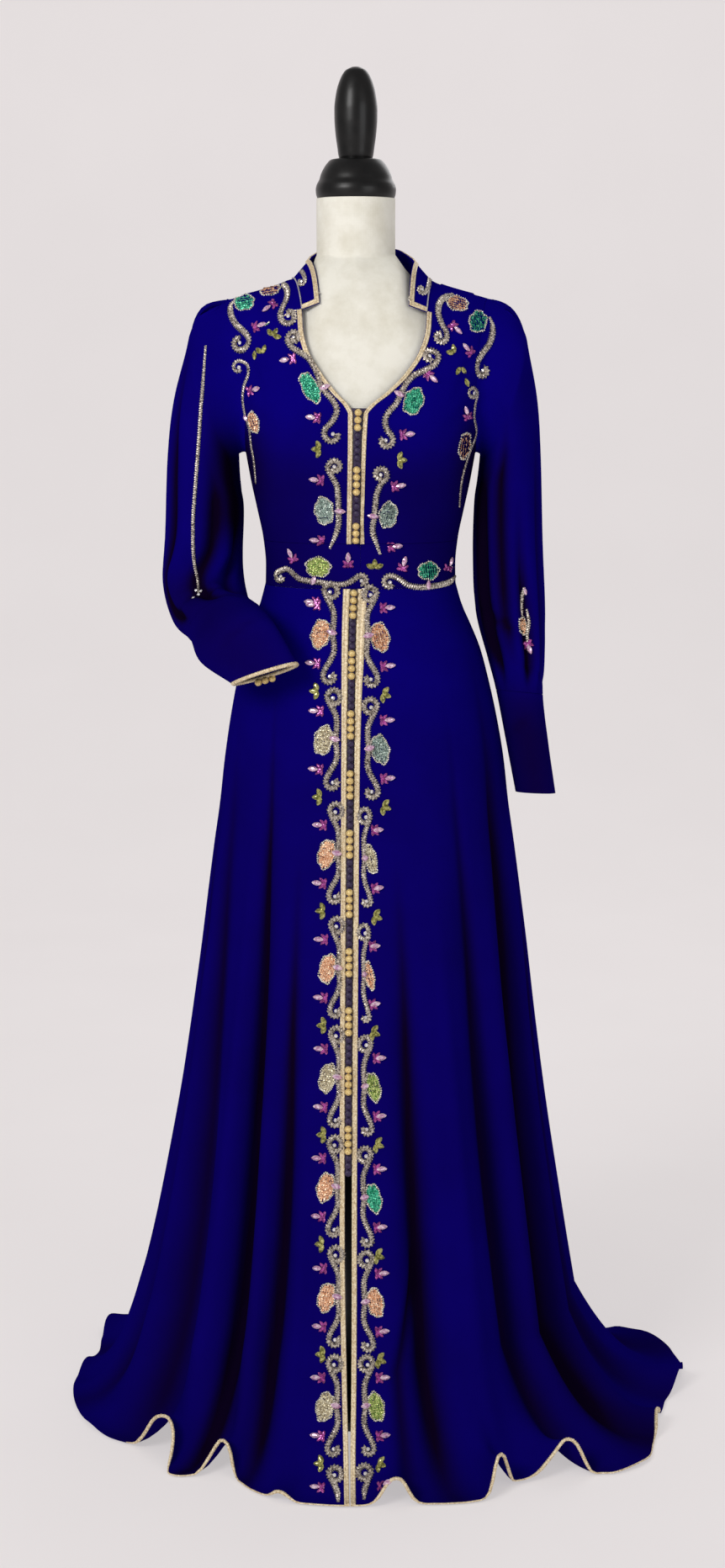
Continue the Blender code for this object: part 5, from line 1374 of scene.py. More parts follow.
for name, part in sleeves.items():
    ring, shell = part["tube"][-1], part["shell"][-1]
    below, half = (0.0021, 0.0027) if name == "right" else (-0.0012, 0.0012)
    middle = ring - shell * (SHELL / 2 if name == "right" else 0.0022) + part["onward"] * below
    middle, shell = np.concatenate([middle, middle[:1]]), np.concatenate([shell, shell[:1]])
    middle, along = resampled(middle, 0.0010, shell)
    batch = Batch()
    coil(batch, middle[:-1], unit(along[:-1]), half, half * 0.78, BRAID_PITCH, closed=True)
    trims["cuff_" + name] = batch.piece("cuff_" + name + "_plait", [braid_gold], sharp=0)


def knot_shape():
    """A ball of wound cord, its strands crossing on the slant, with its axis along z."""
    points = []
    for r in range(KNOT_RINGS):
        lean = math.pi * (r + 0.5) / KNOT_RINGS
        for k in range(KNOT_AROUND):
            turn = 2 * math.pi * k / KNOT_AROUND
            wind = 0.5 + 0.5 * math.cos(5 * turn + 4.0 * math.cos(lean))
            cross = 0.5 + 0.5 * math.cos(5 * turn - 4.0 * math.cos(lean))
            size = 1.0 + 0.10 * max(wind, cross) - 0.05
            out = size * math.sin(lean)
            points.append((out * math.cos(turn), out * math.sin(turn), 0.98 * size * math.cos(lean)))
    return np.array(points), ring_faces(KNOT_RINGS, KNOT_AROUND)[:, ::-1]


KNOT_AROUND, KNOT_RINGS = 20, 13
KNOT_POINTS, KNOT_FACES = knot_shape()
KNOT_ROUND = np.arange(KNOT_AROUND)
KNOT_CAPS = [KNOT_ROUND, ((KNOT_RINGS - 1) * KNOT_AROUND + KNOT_ROUND)[::-1]]


def add_knot(batch, place, axis, out, radius, flat=1.0):
    """One knot round an axis, flattened by a share out of the cloth."""
    axis = unit(np.asarray(axis, float))
    side = unit(np.cross(out, axis))
    front = np.cross(axis, side)
    turned_points = (
        KNOT_POINTS[:, 0:1] * side * radius
        + KNOT_POINTS[:, 1:2] * front * radius * flat
        + KNOT_POINTS[:, 2:3] * axis * radius
    )
    start = batch.count
    batch.add(place + turned_points, KNOT_FACES)
    for cap in KNOT_CAPS:
        batch.close((cap + start)[None, :])


def middle_line(right, left, heights):
    """Points and outward directions midway between two edges, given bottom to top."""
    r = np.stack([np.interp(heights, right[:, 2], right[:, k]) for k in range(3)], axis=1)
    w = np.stack([np.interp(heights, left[:, 2], left[:, k]) for k in range(3)], axis=1)
    middle, half = (r + w) / 2, (w - r) / 2
    out = unit(np.cross(half, np.gradient(middle, axis=0)))
    out *= -np.sign(out[:, 1:2])
    return middle, out


def upward(edge):
    return edge[np.argsort(edge[:, 2])]


bodice_edges = upward(panels["right"][0][:, 0]), upward(panels["left"][0][:, 0])
skirt_edges = (
    upward(skirts["front_right"][0][:SKIRT_ROWS, 0]),
    upward(skirts["front_left"][0][:SKIRT_ROWS, 0]),
)
gold_knots, dark_knots = Batch(), Batch()


def knots_down(edges, top, count, batch, radius, lift, flat=1.0):
    heights = top - (np.arange(count) + 0.5) * KNOT_PITCH
    heights = np.concatenate([heights, [heights[-1] - 0.002]])
    middle, out = middle_line(*edges, heights[::-1])
    middle, out = middle[::-1][:count], out[::-1][:count]
    axis = unit(edges[0][len(edges[0]) // 2 + 1] - edges[0][len(edges[0]) // 2])
    for place, away in zip(middle, out):
        add_knot(batch, place + away * lift, axis, away, radius, flat=flat)


KNOT_SIZE = 0.00445
LOBE = {"batch": dark_knots, "radius": 0.0043, "lift": 0.0022, "flat": 0.55}
# The knots of each cuff: how far below its mouth and how far out of the cloth the first one sits
CUFF_KNOTS = {"right": (0.0048 + KNOT_SIZE, -SHELL / 2), "left": (-0.0075, KNOT_SIZE * 0.9)}
CUFF_KNOT_SHARE = 16.0 / 24
group_tops = [(bodice_edges, top, count) for top, count in BODICE_GROUPS]
group_tops += [
    (skirt_edges, SKIRT_GROUP_TOP - SKIRT_GROUP_PITCH * k, KNOTS_IN_SKIRT_GROUP) for k in range(SKIRT_GROUPS)
]
for edges, top, count in group_tops:
    knots_down(edges, top, count, gold_knots, KNOT_SIZE, KNOT_SIZE + 0.0012)
for top, count in LOOP_GROUPS:
    knots_down(bodice_edges, top, count, **LOBE)
for k in range(SKIRT_GROUPS):
    top = SKIRT_GROUP_TOP - SKIRT_GROUP_PITCH * k - KNOTS_IN_SKIRT_GROUP * KNOT_PITCH
    count = 4 if k < SKIRT_GROUPS - 1 else 3
    knots_down(skirt_edges, top, count, **LOBE)
for name, (below, outward_by) in CUFF_KNOTS.items():
    part = sleeves[name]
    ring, shell, onward = part["tube"][-1], part["shell"][-1], part["onward"]
    number = int(round(CUFF_KNOT_SHARE * len(ring)))
    axis = unit(ring[(number + 3) % len(ring)] - ring[number])
    start = ring[number] + onward[number] * below + shell[number] * outward_by
    for k in range(KNOTS_ON_CUFF):
        add_knot(gold_knots, start + axis * KNOT_PITCH * (k + 0.5), axis, shell[number], KNOT_SIZE)
gold_knot_piece = gold_knots.piece("gold_knot_buttons", [knot_gold], sharp=0)
dark_knot_piece = dark_knots.piece("dark_loop_lobes", [knot_dark], sharp=0)


# Embroidery: every motif is placed by a pixel of the photograph and laid on the cloth it meets

EMBROIDERED = [bodice_right, bodice_left, waistband, collar]
EMBROIDERED += [skirt_pieces["front_right"], skirt_pieces["front_left"]]


def tree_of(pieces):
    points, faces = [], []
    for piece in pieces:
        start = len(points)
        points += [vertex.co.copy() for vertex in piece.data.vertices]
        faces += [[start + i for i in polygon.vertices] for polygon in piece.data.polygons]
    return BVHTree.FromPolygons(points, faces)


SLEEVED = [part["sleeve"] for part in sleeves.values()] + [part["cuff"] for part in sleeves.values()]
CLOTH_TREE = tree_of(EMBROIDERED + SLEEVED)
SLEEVE_TREE = tree_of(SLEEVED)
EYE = Vector(CAMERA_PLACE)
PIXEL = 0.00112
CORD_PITCH = 0.0031
CORD_DEPTH = 0.34
LINE_STEP = 0.8
CURL_TURN = 250.0
CURL_END = 0.45


def on_cloth(px, py, tree=CLOTH_TREE):
    """The point and normal of the cloth behind a pixel, or the nearest ones if the ray misses."""
    ray = pixel_ray(px, py)
    place, normal, _, distance = tree.ray_cast(EYE, ray)
    if place is None or distance > 3.60 or distance < 2.6:
        place, normal, _, _ = tree.find_nearest(EYE + ray * 3.28)
    if normal.dot(ray) > 0:
        normal = -normal
    return np.array(place), np.array(normal)


def laid(pixels, tree):
    """Points and normals on the cloth under a path of pixels, evened out twice."""
    found = [on_cloth(px, py, tree) for px, py in pixels]
    points, normals = np.array([f[0] for f in found]), np.array([f[1] for f in found])
    for _ in range(2):
        points[1:-1] = points[1:-1] / 2 + (points[:-2] + points[2:]) / 4
        normals[1:-1] = normals[1:-1] / 2 + (normals[:-2] + normals[2:]) / 4
    return points, unit(normals)


def spline(points):
    """A smooth curve through pixel points, with a point about every LINE_STEP of a pixel."""
    points = np.asarray(points, float)
    lengths = path_lengths(points)
    at = np.linspace(0.0, lengths[-1], max(4, int(lengths[-1] / LINE_STEP) + 1))
    out = np.empty((len(at), 2))
    for k in range(2):
        slope = np.gradient(points[:, k], lengths)
        number = np.clip(np.searchsorted(lengths, at) - 1, 0, len(points) - 2)
        span = lengths[number + 1] - lengths[number]
        f = (at - lengths[number]) / span
        leave, arrive = span * slope[number], span * slope[number + 1]
        out[:, k] = cubic(points[number, k], points[number + 1, k], leave, arrive, f)
    return out


def curled(points, centre):
    """The path with a curl added that winds round the centre from its last point."""
    last, before = np.array(points[-1], float), np.array(points[-2], float)
    arm = last - centre
    forward = last - before
    side = 1.0 if arm[0] * forward[1] - arm[1] * forward[0] > 0 else -1.0
    radius, start = math.hypot(*arm), math.atan2(arm[1], arm[0])
    curl = []
    for share in np.linspace(0.0, 1.0, 9)[1:]:
        angle = start + side * math.radians(CURL_TURN) * share
        r = radius * (1 - (1 - CURL_END) * share ** 1.4)
        curl.append((centre[0] + r * math.cos(angle), centre[1] + r * math.sin(angle)))
    return list(points) + curl


cords, spangles, stones = Batch(), Batch(), Batch()
SPANGLE_MATERIALS = [seed_beads, sequin_peach, sequin_gold, sequin_emerald, sequin_grey, sequin_lime]
STONE_MATERIALS = [rhinestone, pink_white_stone, magenta_stone, leaf_stone]
SEQUIN_NUMBER = {"peach": 1, "gold": 2, "emerald": 3, "grey": 4, "lime": 5}
dice = random.Random(7)


def scroll(points, first=None, last=None, wide=3.1, thin=1.5, tree=CLOTH_TREE):
    """A bullion scroll through pixel points, with a curl and a rhinestone at either end."""
    path = list(points)
    if last is not None:
        path = curled(path, last)
    if first is not None:
        path = curled(path[::-1], first)[::-1]
    points3, normals3 = laid(spline(path), tree)
    points3, normals3 = resampled(points3, 0.0007, normals3)
    normals3 = unit(normals3)
    share = np.linspace(0.0, 1.0, len(points3))
    head = share if first is None else share * 3 + 0.25
    tail = 1 - share if last is None else (1 - share) * 3 + 0.25
    ends = np.minimum(head, tail)
    half = (thin + (wide - thin) * ease(ends * 5.0)) * PIXEL
    high = half * 0.55
    lifted = points3 + normals3 * (high * 0.6)[:, None]
    coil(cords, lifted, normals3, half, high, CORD_PITCH, depth=CORD_DEPTH)
    for centre in (first, last):
        if centre is not None:
            round_stone(centre, 2.3, tree)


def local_frame(px, py, turn, tree=CLOTH_TREE):
    """Place, and the axes along a pixel direction, across it and out of the cloth."""
    place, normal = on_cloth(px, py, tree)
    near, _ = on_cloth(px + math.cos(turn) * 1.5, py + math.sin(turn) * 1.5, tree)
    along = near - place
    along = along - normal * (along @ normal)
    if np.linalg.norm(along) < 1e-6:
        along = np.array([math.cos(turn), 0.0, -math.sin(turn)])
        along = along - normal * (along @ normal)
    along = unit(along)
    return place, along, np.cross(normal, along), normal


def rounds(place, along, across, out, rings, count):
    """Rings of points about a place, each with a radius and a height."""
    turns = 2 * np.pi * np.arange(count) / count
    spokes = np.cos(turns)[:, None] * along + np.sin(turns)[:, None] * across
    return np.concatenate([place + spokes * radius + out * height for radius, height in rings])


def round_stone(centre, radius, tree=CLOTH_TREE):
    """A round stone at a pixel, its radius in pixels."""
    size = radius * PIXEL
    cut = ((1.0, 0.0), (1.0, 0.35), (0.55, 0.85), (0.0001, 0.92))
    rings = [(size * r, 0.0004 + z * size * 0.8) for r, z in cut]
    stones.add(rounds(*local_frame(*centre, 0.0, tree), rings, 8), ring_faces(len(rings), 8), 0)


def marquise(px, py, turn, length, width, index, lift=0.0005, tree=CLOTH_TREE):
    """A pointed oval stone with a raised keel and side facets. The turn is a pixel direction."""
    place, along, across, out = local_frame(px, py, turn, tree)
    count = 12
    rim, table = [], []
    for k in range(count):
        a = 2 * math.pi * k / count
        x = math.cos(a) * abs(math.cos(a)) ** 0.05
        y = math.sin(a) * abs(math.sin(a)) ** 0.55
        rim.append((x, y))
        table.append((x * 0.50, y * 0.42))
    half_l, half_w = length * PIXEL / 2, width * PIXEL / 2
    tall = half_w * 0.84
    rows = []
    for ring, z in ((rim, 0.0), (rim, tall * 0.30), (table, tall), ([(0.0, 0.0)] * count, tall * 1.06)):
        for x, y in ring:
            rows.append(place + along * x * half_l + across * y * half_w + out * (lift + z))
    stones.add(np.array(rows), ring_faces(4, count), index)


def spangle(points, rings, index):
    """Rings of points that stand on the cloth, the last one closed."""
    start, sides = spangles.count, len(points) // rings
    spangles.add(points, ring_faces(rings, sides), index)
    spangles.close(np.arange(start + len(points) - sides, start + len(points))[None, :], index)


def bead(place, out, radius, index):
    axis = unit(np.cross(out, np.array([0.31, 0.17, 0.93])))
    rings = [(r * radius, z * radius) for r, z in ((0.75, 0.05), (1.0, 0.55), (0.80, 1.15), (0.30, 1.50))]
    spangle(rounds(place, axis, np.cross(out, axis), out, rings, 6), len(rings), index)


def sequin(place, along, across, out, radius, lean, index):
    """A tiny cupped disc that leans a little on its neighbours."""
    tilt = unit(out + along * lean[0] + across * lean[1])
    one = unit(np.cross(tilt, across))
    two = np.cross(tilt, one)
    rings = ((radius, 0.30 * radius), (0.52 * radius, 0.12 * radius))
    spangle(rounds(place + out * 0.0007, one, two, tilt, rings, 7), len(rings), index)


def flower(px, py, width, height, turn, colour, tree=CLOTH_TREE):
    """An oval field of sequins inside a rim of small beads. Sizes are in pixels, the turn in degrees."""
    lean = math.radians(turn)
    def spot(x, y):
        return px + x * math.cos(lean) - y * math.sin(lean), py + x * math.sin(lean) + y * math.cos(lean)
    def rim(angle):
        wave = 1.0 + 0.06 * math.cos(5 * angle + px) + 0.04 * math.cos(9 * angle + py)
        wave -= 0.06 * math.cos(2 * angle)
        return width / 2 * wave * math.cos(angle), height / 2 * wave * math.sin(angle)
    number = SEQUIN_NUMBER[colour]
    around = int(math.pi * (width + height) / 2 / 2.1)
    for k in range(around):
        x, y = rim(2 * math.pi * k / around)
        place, out = on_cloth(*spot(x, y), tree)
        bead(place, out, 1.15 * PIXEL, 0)
        if k % 2:
            place, out = on_cloth(*spot(x * 0.88, y * 0.91), tree)
            bead(place, out, 0.95 * PIXEL, 0 if k % 4 == 1 else number)
    rows = int(height / 2.5)
    for r in range(rows):
        y = -height / 2 + (r + 0.5) * height / rows
        reach = 1 - (2 * y / height) ** 2
        if reach <= 0.06:
            continue
        half = width / 2 * math.sqrt(reach) * 0.86
        count = max(1, int(2 * half / 2.5))
        for c in range(count):
            x = -half + (c + 0.5) * 2 * half / count + dice.uniform(-0.35, 0.35)
            spot_x, spot_y = spot(x, y + dice.uniform(-0.35, 0.35))
            place, along, across, out = local_frame(spot_x, spot_y, lean + dice.uniform(-0.5, 0.5), tree)
            leans = (0.30 + dice.uniform(-0.3, 0.3), dice.uniform(-0.4, 0.4))
            sequin(place, along, across, out, dice.uniform(1.45, 1.75) * PIXEL, leans, number)


# The petals of a trefoil: angle from the way it points, distance, length
PETALS = ((-0.80, 4.2, 9.0), (0.80, 4.2, 9.0), (-1.75, 3.4, 6.6), (1.75, 3.4, 6.6), (0.0, 1.2, 7.0))


def bud(px, py, white_x, white_y, tree=CLOTH_TREE):
    """A magenta trefoil with a pale stone that points away from it."""
    turn = math.atan2(white_y - py, white_x - px)
    for spread, reach, length in PETALS:
        a = turn + spread
        marquise(px + math.cos(a) * reach, py + math.sin(a) * reach, a, length, 3.9, 2, tree=tree)
    marquise(white_x, white_y, turn, 12.0, 6.0, 1, lift=0.0013, tree=tree)


def leaves(px, py, turn, count=3):
    """Yellow-green leaves that fan out from a point."""
    fan = {3: (-1.15, 0.0, 1.15), 2: (-0.9, 0.3), 1: (0.0,)}[count]
    for spread in fan:
        a = math.radians(turn) + spread
        marquise(px + math.cos(a) * 5.6, py + math.sin(a) * 5.6, a, 10.5, 6.2, 3)


# One repeat down the skirt, in pixels from the stone that crosses its scroll: away from the
# placket, and down
UNIT_PATH = (
    (2.5, -59.5), (10, -53), (7, -43.5), (2.5, -35), (-1, -26.5), (-1.5, -18), (-1, -9.5), (0, 0),
    (-1.6, 12.5), (-1.6, 21), (2.5, 31.5), (7.5, 39.5), (11, 48),
)
UNIT_TOP_CURL = (3.0, -49.5)
UNIT_LOW_CURL = (3.2, 50.8)
UNIT_BUDS = ((16.5, -34.0, 26.0, -34.5), (17.0, 35.5, 26.5, 34.5))
UNIT_LEAVES = (17.0, 68.0)
# Each repeat: side, x and y of its crossing stone, how much it is narrowed by a fold, flower
REPEATS = (
    (-1, 395.5, 753.5, 1, "peach"), (-1, 399, 879.5, 1, "gold"), (-1, 401.5, 1015, 0.92, "peach"),
    (-1, 402.5, 1151, 0.9, "peach"), (-1, 402, 1281, 0.88, "gold"), (-1, 400.5, 1411, 0.92, "peach"),
    (-1, 401.5, 1542, 0.92, "peach"), (-1, 400, 1672, 0.95, "gold"), (1, 437.5, 757, 1, "peach"),
    (1, 438.5, 890.5, 0.95, "grey"), (1, 433.5, 1021, 0.62, "gold"), (1, 433, 1159, 0.5, "peach"),
    (1, 433.5, 1292, 0.74, "lime"), (1, 433, 1424, 0.8, "emerald"), (1, 434, 1548, 0.86, "peach"),
    (1, 434.5, 1672, 0.88, "lime"),
)


def skirt_repeat(side, x0, y0, narrow, colour):
    def at(away, down):
        return x0 + side * away * narrow, y0 + down
    path = [at(*point) for point in UNIT_PATH]
    scroll(path, first=at(*UNIT_TOP_CURL), last=at(*UNIT_LOW_CURL), wide=3.1 * (0.6 + 0.4 * narrow))
    flower(*at(14.2 if narrow > 0.7 else 12.0, 0.5), 23.0 * narrow, 33.0, -12.0 * side, colour)
    marquise(*at(0.5, -1.0), math.radians(-14.0 * side), 13.0 * narrow, 6.6, 1, lift=0.0030)
    for bx, by, wx, wy in UNIT_BUDS:
        bud(*at(bx, by), *at(wx, wy))
    leaves(*at(*UNIT_LEAVES), 180.0 if side < 0 else 20.0)


for repeat in REPEATS:
    skirt_repeat(*repeat)
# The part repeats at the hem
HEM_SCROLLS = (
    ((399, 1744.5), (391, 1750), (396, 1762), (401, 1775), (402, 1786), (397.5, 1754)),
    ((433, 1742), (441, 1748), (437.5, 1760), (433.5, 1772), (433, 1783), (434.5, 1752)),
)
for *points, first in HEM_SCROLLS:
    scroll(points, first)
bud(383.5, 1769.0, 374.5, 1768.0)
bud(451.0, 1767.0, 460.5, 1766.5)

# The scrolls of the bodice, waistband and collar: points, first curl, last curl, half width in pixels
SCROLLS = (
    ([(282, 355), (275, 362), (274.6, 373), (281, 386), (290.5, 394.5), (296.5, 403),
     (294, 412)], None, (285.5, 407.5), 3.2),
    ([(336, 336.5), (341.5, 345), (341, 356), (336.5, 365.5), (333.5, 375),
     (336, 382.5)], None, (343, 376), 3.1),
    ([(287.5, 429.5), (294.5, 434), (295.5, 444), (290.5, 459), (288.8, 473), (291, 490), (297, 512),
     (299, 530), (302, 546), (304.5, 575)], (284.3, 436.8), None, 1.9),
    ([(349, 395), (342, 402), (345.8, 411.6), (356, 418.4), (366.2, 425.2), (373, 435.4), (379, 449),
     (382, 459.5), (388.5, 468), (396, 476.5), (400.5, 487), (397, 498), (390.5, 506)], (349.5, 401.5),
     (396, 516), 3.1),
    ([(396.5, 547.5), (389.8, 555), (394.5, 566), (400, 576), (402, 590), (402.5, 607), (402.5, 624),
     (398, 639), (392, 652)], (397.6, 555), None, 3),
    ([(504.5, 320), (509.5, 328), (509.5, 338.5), (505.5, 347.5)], None, (501.5, 344.5), 2.4),
    ([(350, 318.5), (356.5, 320.5), (361.5, 327), (363, 335)], None, (358.8, 335), 2.2),
    ([(538, 349.5), (529, 353), (522, 361), (520.5, 372), (524.3, 384.4), (530.3, 396.3),
     (530, 403.5)], None, (523.5, 400), 3.1),
    ([(582, 377), (585, 386), (585.2, 397), (582, 408), (574, 419), (567.5, 430),
     (567, 441)], None, (574, 440.5), 3.2),
    ([(513.5, 417), (520.8, 422.5), (518, 431.5), (506, 439.5), (491.5, 446.5), (482.5, 456),
     (477, 467), (470, 481), (463, 488.5), (458, 498), (459.5, 510), (466, 519)], (510.5, 423.5),
     (458.5, 523.5), 3.1),
    ([(458, 559), (460, 566.5), (453, 575), (448.5, 585), (446.5, 598), (445, 614), (443, 632),
     (447.5, 646), (452, 659)], (452.5, 564.5), None, 3),
    ([(561.5, 461), (567, 466), (564.8, 480), (563.5, 496), (566, 514), (560, 532), (554, 550),
     (549.5, 567), (547, 585), (546, 603)], (563, 467.5), None, 1.9),
    ([(333, 679), (342, 676.5), (349, 682), (356.5, 688.5), (366, 690.5), (380, 692), (395, 694.5),
     (411, 694), (424, 686.5)], (334.5, 685.5), (430, 690.5), 2.9),
    ([(466, 684.5), (474, 688), (485, 695.5), (497, 698), (512, 697), (526, 694.5), (536, 690.5),
     (541, 685)], (463.5, 692.5), None, 2.9),
)
for points, first, last, wide in SCROLLS:
    scroll(points, first, last, wide)

# Flowers: x, y, width, height, turn in degrees, colour
FLOWERS = (
    (290.5, 359.5, 25, 18, -8, "emerald"), (321, 344.5, 26, 13, -10, "peach"),
    (302, 502, 13, 24, -14, "peach"), (369, 461, 20, 37, -28, "emerald"),
    (385.5, 607, 23, 31, -8, "grey"), (378.5, 674, 31, 22, 6, "lime"),
    (543.5, 361, 27, 16, 14, "peach"), (568, 382.5, 22, 24, 10, "emerald"),
    (552, 530, 14, 30, 10, "peach"), (491.5, 477, 24, 31, 20, "emerald"),
    (461.5, 612, 22, 29, 10, "grey"), (509, 678.5, 26, 20, -6, "emerald"),
)
for row in FLOWERS:
    flower(*row)

# Pale stones that cross a scroll: x, y, turn in degrees, length
CROSSING = (
    (386.5, 460.5, -20, 13), (404.5, 607, 4, 13), (373.5, 690, -70, 11), (474, 468.5, 28, 13),
    (443.5, 613, 8, 13), (508, 695.5, 90, 11), (294.5, 497, 60, 9),
)
for x, y, turn, length in CROSSING:
    marquise(x, y, math.radians(turn), length, 6.2, 1, lift=0.0028)

# Buds: x and y of the trefoil, x and y of the pale stone
BUDS = (
    (326.3, 360.6, 317.5, 367.5), (302.4, 389.5, 311.5, 386.5), (349.5, 426, 338.5, 428),
    (295.8, 465.2, 305, 462.6), (379, 497, 369.5, 496), (383, 571, 373.5, 570), (383.5, 643, 374, 642),
    (377, 716, 367.6, 715.6), (349.5, 666, 345.5, 657.5), (414, 672.5, 414, 662.5),
    (478, 676.5, 480.5, 667), (532, 677, 535, 667.5), (537, 386, 544, 393), (560, 420, 553.5, 413),
    (508, 444.5, 515, 450.5), (477.5, 517, 487, 516), (556.5, 497, 553.5, 488),
    (467.5, 578.5, 476.5, 577), (463, 650, 472.5, 649),
)
for row in BUDS:
    bud(*row)

# Leaves: x, y, the way they point in degrees, number of leaves
LEAVES = (
    (324.5, 400, -60, 3), (312.5, 420.5, -90, 2), (303, 428, -90, 1), (381, 534, 180, 3),
    (445.5, 675.5, -90, 3), (540.5, 420, -120, 2), (547, 436, 100, 2), (553, 449.5, 70, 1),
    (473, 547, 0, 3),
)
for row in LEAVES:
    leaves(*row)

# The line down the wearer's right sleeve and the sprig on the left one
SLEEVE_LINE = (
    (244.5, 411), (242, 444), (239, 484), (235.5, 537), (232.5, 576), (229.5, 624), (231.5, 672),
    (235, 691), (236, 706),
)
scroll(list(SLEEVE_LINE), None, None, 1.9, 1.2, SLEEVE_TREE)
for x, y in ((233.0, 702.0), (236.0, 707.0), (230.0, 711.0), (239.0, 703.0)):
    round_stone((x, y), 1.9, SLEEVE_TREE)
scroll([(623.5, 698.0), (621.0, 708.0), (619.5, 720.0), (620.5, 732.0)], None, None, 2.0, 1.2, SLEEVE_TREE)
scroll([(626.0, 724.0), (629.0, 740.0), (627.0, 757.0), (629.5, 771.0)], None, None, 1.8, 1.1, SLEEVE_TREE)
flower(621.5, 744.0, 10.0, 20.0, -6.0, "peach", SLEEVE_TREE)
bud(627.0, 764.0, 630.0, 771.5, SLEEVE_TREE)
marquise(624.5, 703.0, math.radians(75.0), 9.0, 4.2, 1, tree=SLEEVE_TREE)

cord_piece = cords.piece("bullion_scrolls", [bullion_painted_sparkle], sharp=40.0)
spangle_piece = spangles.piece("seed_beads_sequins", SPANGLE_MATERIALS, sharp=40.0)
stone_piece = stones.piece("set_stones", STONE_MATERIALS, sharp=20.0)


# The dress form


def closed_rings(name, rings, material):
    """A body through rings of points, its two ends closed."""
    batch, sides = Batch(), rings.shape[1]
    batch.add(rings.reshape(-1, 3), ring_faces(len(rings), sides))
    batch.close(np.arange(sides)[::-1][None, :])
    batch.close(((len(rings) - 1) * sides + np.arange(sides))[None, :])
    return batch.piece(name, [material])


def turned_piece(name, profile, material):
    """A smooth turned body with its two ends closed. The profile holds radius and height."""
    profile = np.asarray(profile, float)
    lengths = path_lengths(profile)
    at = np.linspace(0.0, lengths[-1], (len(profile) - 1) * 8 + 1)
    radius, height = smooth(lengths, profile[:, 0], at), smooth(lengths, profile[:, 1], at)
    turn = 2 * np.pi * np.arange(TURNED_SIDES) / TURNED_SIDES
    across, ahead = radius[:, None] * np.cos(turn), radius[:, None] * np.sin(turn)
    rings = np.stack([across, ahead, np.broadcast_to(height[:, None], across.shape)], axis=-1)
    return closed_rings(name, rings, material)


def form_piece(name, material):
    heights = np.concatenate([
        [FORM_BOTTOM, FORM_BOTTOM + 0.004, FORM_EDGE], np.linspace(0.89, 1.42, 60),
        np.linspace(1.4235, 1.535, 64), np.linspace(1.54, NECK_TOP, 14),
    ])
    rings = []
    for number, height in enumerate(heights):
        ring = np.array(form_ring(float(max(height, FORM_EDGE))))
        if number < 2:
            ring = ring * np.array([0.93 + 0.05 * number, 0.93 + 0.05 * number, 1.0])
        ring[:, 2] = height
        rings.append(ring)
    rings = np.array(rings)
    return closed_rings(name, rings, material)


form = form_piece("linen_form", linen)
cap = turned_piece("turned_neck_cap", CAP_PROFILE, wood)
finial = turned_piece("turned_finial", FINIAL_PROFILE, wood)


# What rides, what stands for what, and the materials of the stand's pole, base and loop strips

for piece, node in (
    (bodice_right, "bodice_front_right"), (bodice_left, "bodice_front_left"), (bodice_back, "bodice_back"),
    (waistband, "waistband"), (collar, "collar"),
    (sleeves["right"]["sleeve"], "sleeve_right"), (sleeves["left"]["sleeve"], "sleeve_left"),
    (sleeves["right"]["cuff"], "cuff_right"), (sleeves["left"]["cuff"], "cuff_left"),
    (skirt_pieces["front_right"], "skirt_front_right"), (skirt_pieces["front_left"], "skirt_front_left"),
    (skirt_pieces["back"], "skirt_back"),
):
    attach(piece, "root")
    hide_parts(node)
for key, node in (
    ("bodice_right", "bodice_braid_right"), ("bodice_left", "bodice_braid_left"),
    ("skirt_right", "skirt_braid_right"), ("skirt_left", "skirt_braid_left"),
    ("collar_top", "collar_braid"), ("collar_right", None), ("collar_left", None),
    ("collar_piping", "collar_piping"), ("hem_front_right", "hem_piping_front_right"),
    ("hem_front_left", "hem_piping_front_left"), ("hem_back", "hem_piping_back"),
    ("cuff_right", "cuff_edge_right"), ("cuff_left", "cuff_edge_left"),
):
    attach(trims[key], "root")
    if node:
        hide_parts(node)
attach(gold_knot_piece, "root")
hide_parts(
    "cuff_buttons_right", "cuff_buttons_left",
    *[f"bodice_buttons_{k}" for k in (1, 2, 3)], *[f"skirt_buttons_{k}" for k in range(1, SKIRT_GROUPS + 1)],
)
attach(dark_knot_piece, "root")
for piece in (cord_piece, spangle_piece, stone_piece):
    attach(piece, "root")
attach(form, "root")
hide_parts("form_body")
for piece, node in ((cap, "neck_cap"), (finial, "finial")):
    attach(piece, "root")
    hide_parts(node)
for node, material in (
    ("pole", steel), ("base_disc", steel), ("loop_strip_bodice", knot_dark), ("loop_strip_skirt", knot_dark),
):
    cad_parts[node].data.materials.clear()
    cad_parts[node].data.materials.append(material)


# Floor, light and world

FLOOR_HALF = 9.0
BACKDROP_DISTANCE = 5.0
BACKDROP_BEND = 2.2
BACKDROP_HEIGHT = 6.0


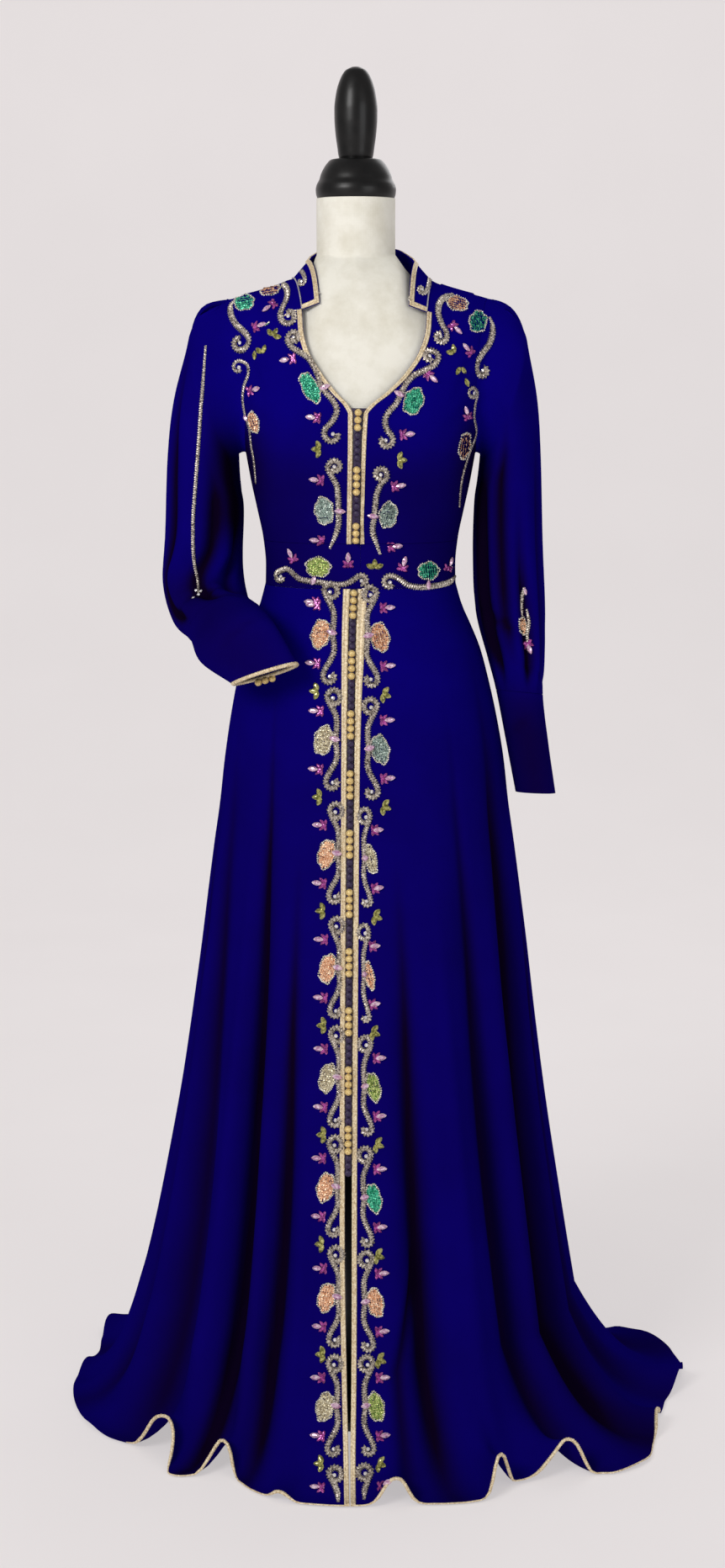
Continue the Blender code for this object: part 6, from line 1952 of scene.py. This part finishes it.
def make_backdrop():
    """A floor that bends up into a wall behind the object."""
    profile = [(-FLOOR_HALF, 0.0), (BACKDROP_DISTANCE - BACKDROP_BEND, 0.0)]
    for k in range(1, 17):
        turn = math.pi / 2 * k / 16
        profile.append((
            BACKDROP_DISTANCE - BACKDROP_BEND + BACKDROP_BEND * math.sin(turn),
            BACKDROP_BEND * (1 - math.cos(turn)),
        ))
    profile.append((BACKDROP_DISTANCE, BACKDROP_HEIGHT))
    points, faces = [], []
    for y, z in profile:
        points += [(-FLOOR_HALF, y, z), (FLOOR_HALF, y, z)]
    for k in range(len(profile) - 1):
        faces.append((2 * k, 2 * k + 1, 2 * k + 3, 2 * k + 2))
    piece = mesh_piece("studio_backdrop", points, faces, [floor_grey], sharp=0)


def area_light(name, place, target, size, energy, colour):
    data = bpy.data.lights.new(name, "AREA")
    data.shape = "RECTANGLE"
    data.size, data.size_y = size
    data.energy = energy
    data.color = colour
    light = bpy.data.objects.new(name, data)
    light.location = place
    light.rotation_euler = (Vector(target) - Vector(place)).to_track_quat("-Z", "Y").to_euler()
    bpy.context.scene.collection.objects.link(light)


make_backdrop()
area_light("key", (-2.2, -3.2, 2.9), (0.0, 0.0, 0.9), (1.6, 1.6), 95.0, (1.0, 0.99, 0.98))
area_light("fill", (2.6, -3.4, 1.8), (0.0, 0.0, 0.8), (2.2, 2.2), 30.0, (0.98, 0.99, 1.0))
area_light("rear", (1.2, 2.4, 2.8), (0.0, 0.0, 0.9), (1.8, 1.8), 16.0, (0.98, 0.99, 1.0))
area_light("back_wash", (0.0, 2.2, 3.8), (0.0, 4.6, 1.6), (4.0, 2.0), 20.0, (1.0, 0.99, 0.99))

world = bpy.data.worlds.new("studio")
bpy.context.scene.world = world
world.use_nodes = True
sky = world.node_tree.nodes["Background"]
fill(sky, {"Color": (1.0, 0.975, 0.975, 1.0), "Strength": 0.35})
pale = world.node_tree.nodes.new("ShaderNodeBackground")
pale.inputs["Color"].default_value = (0.79, 0.745, 0.745, 1.0)
seen = world.node_tree.nodes.new("ShaderNodeLightPath")
either = world.node_tree.nodes.new("ShaderNodeMixShader")
world.node_tree.links.new(seen.outputs["Is Camera Ray"], either.inputs[0])
world.node_tree.links.new(sky.outputs["Background"], either.inputs[1])
world.node_tree.links.new(pale.outputs["Background"], either.inputs[2])
world.node_tree.links.new(either.outputs["Shader"], world.node_tree.nodes["World Output"].inputs["Surface"])
bpy.context.scene.view_settings.view_transform = "Standard"
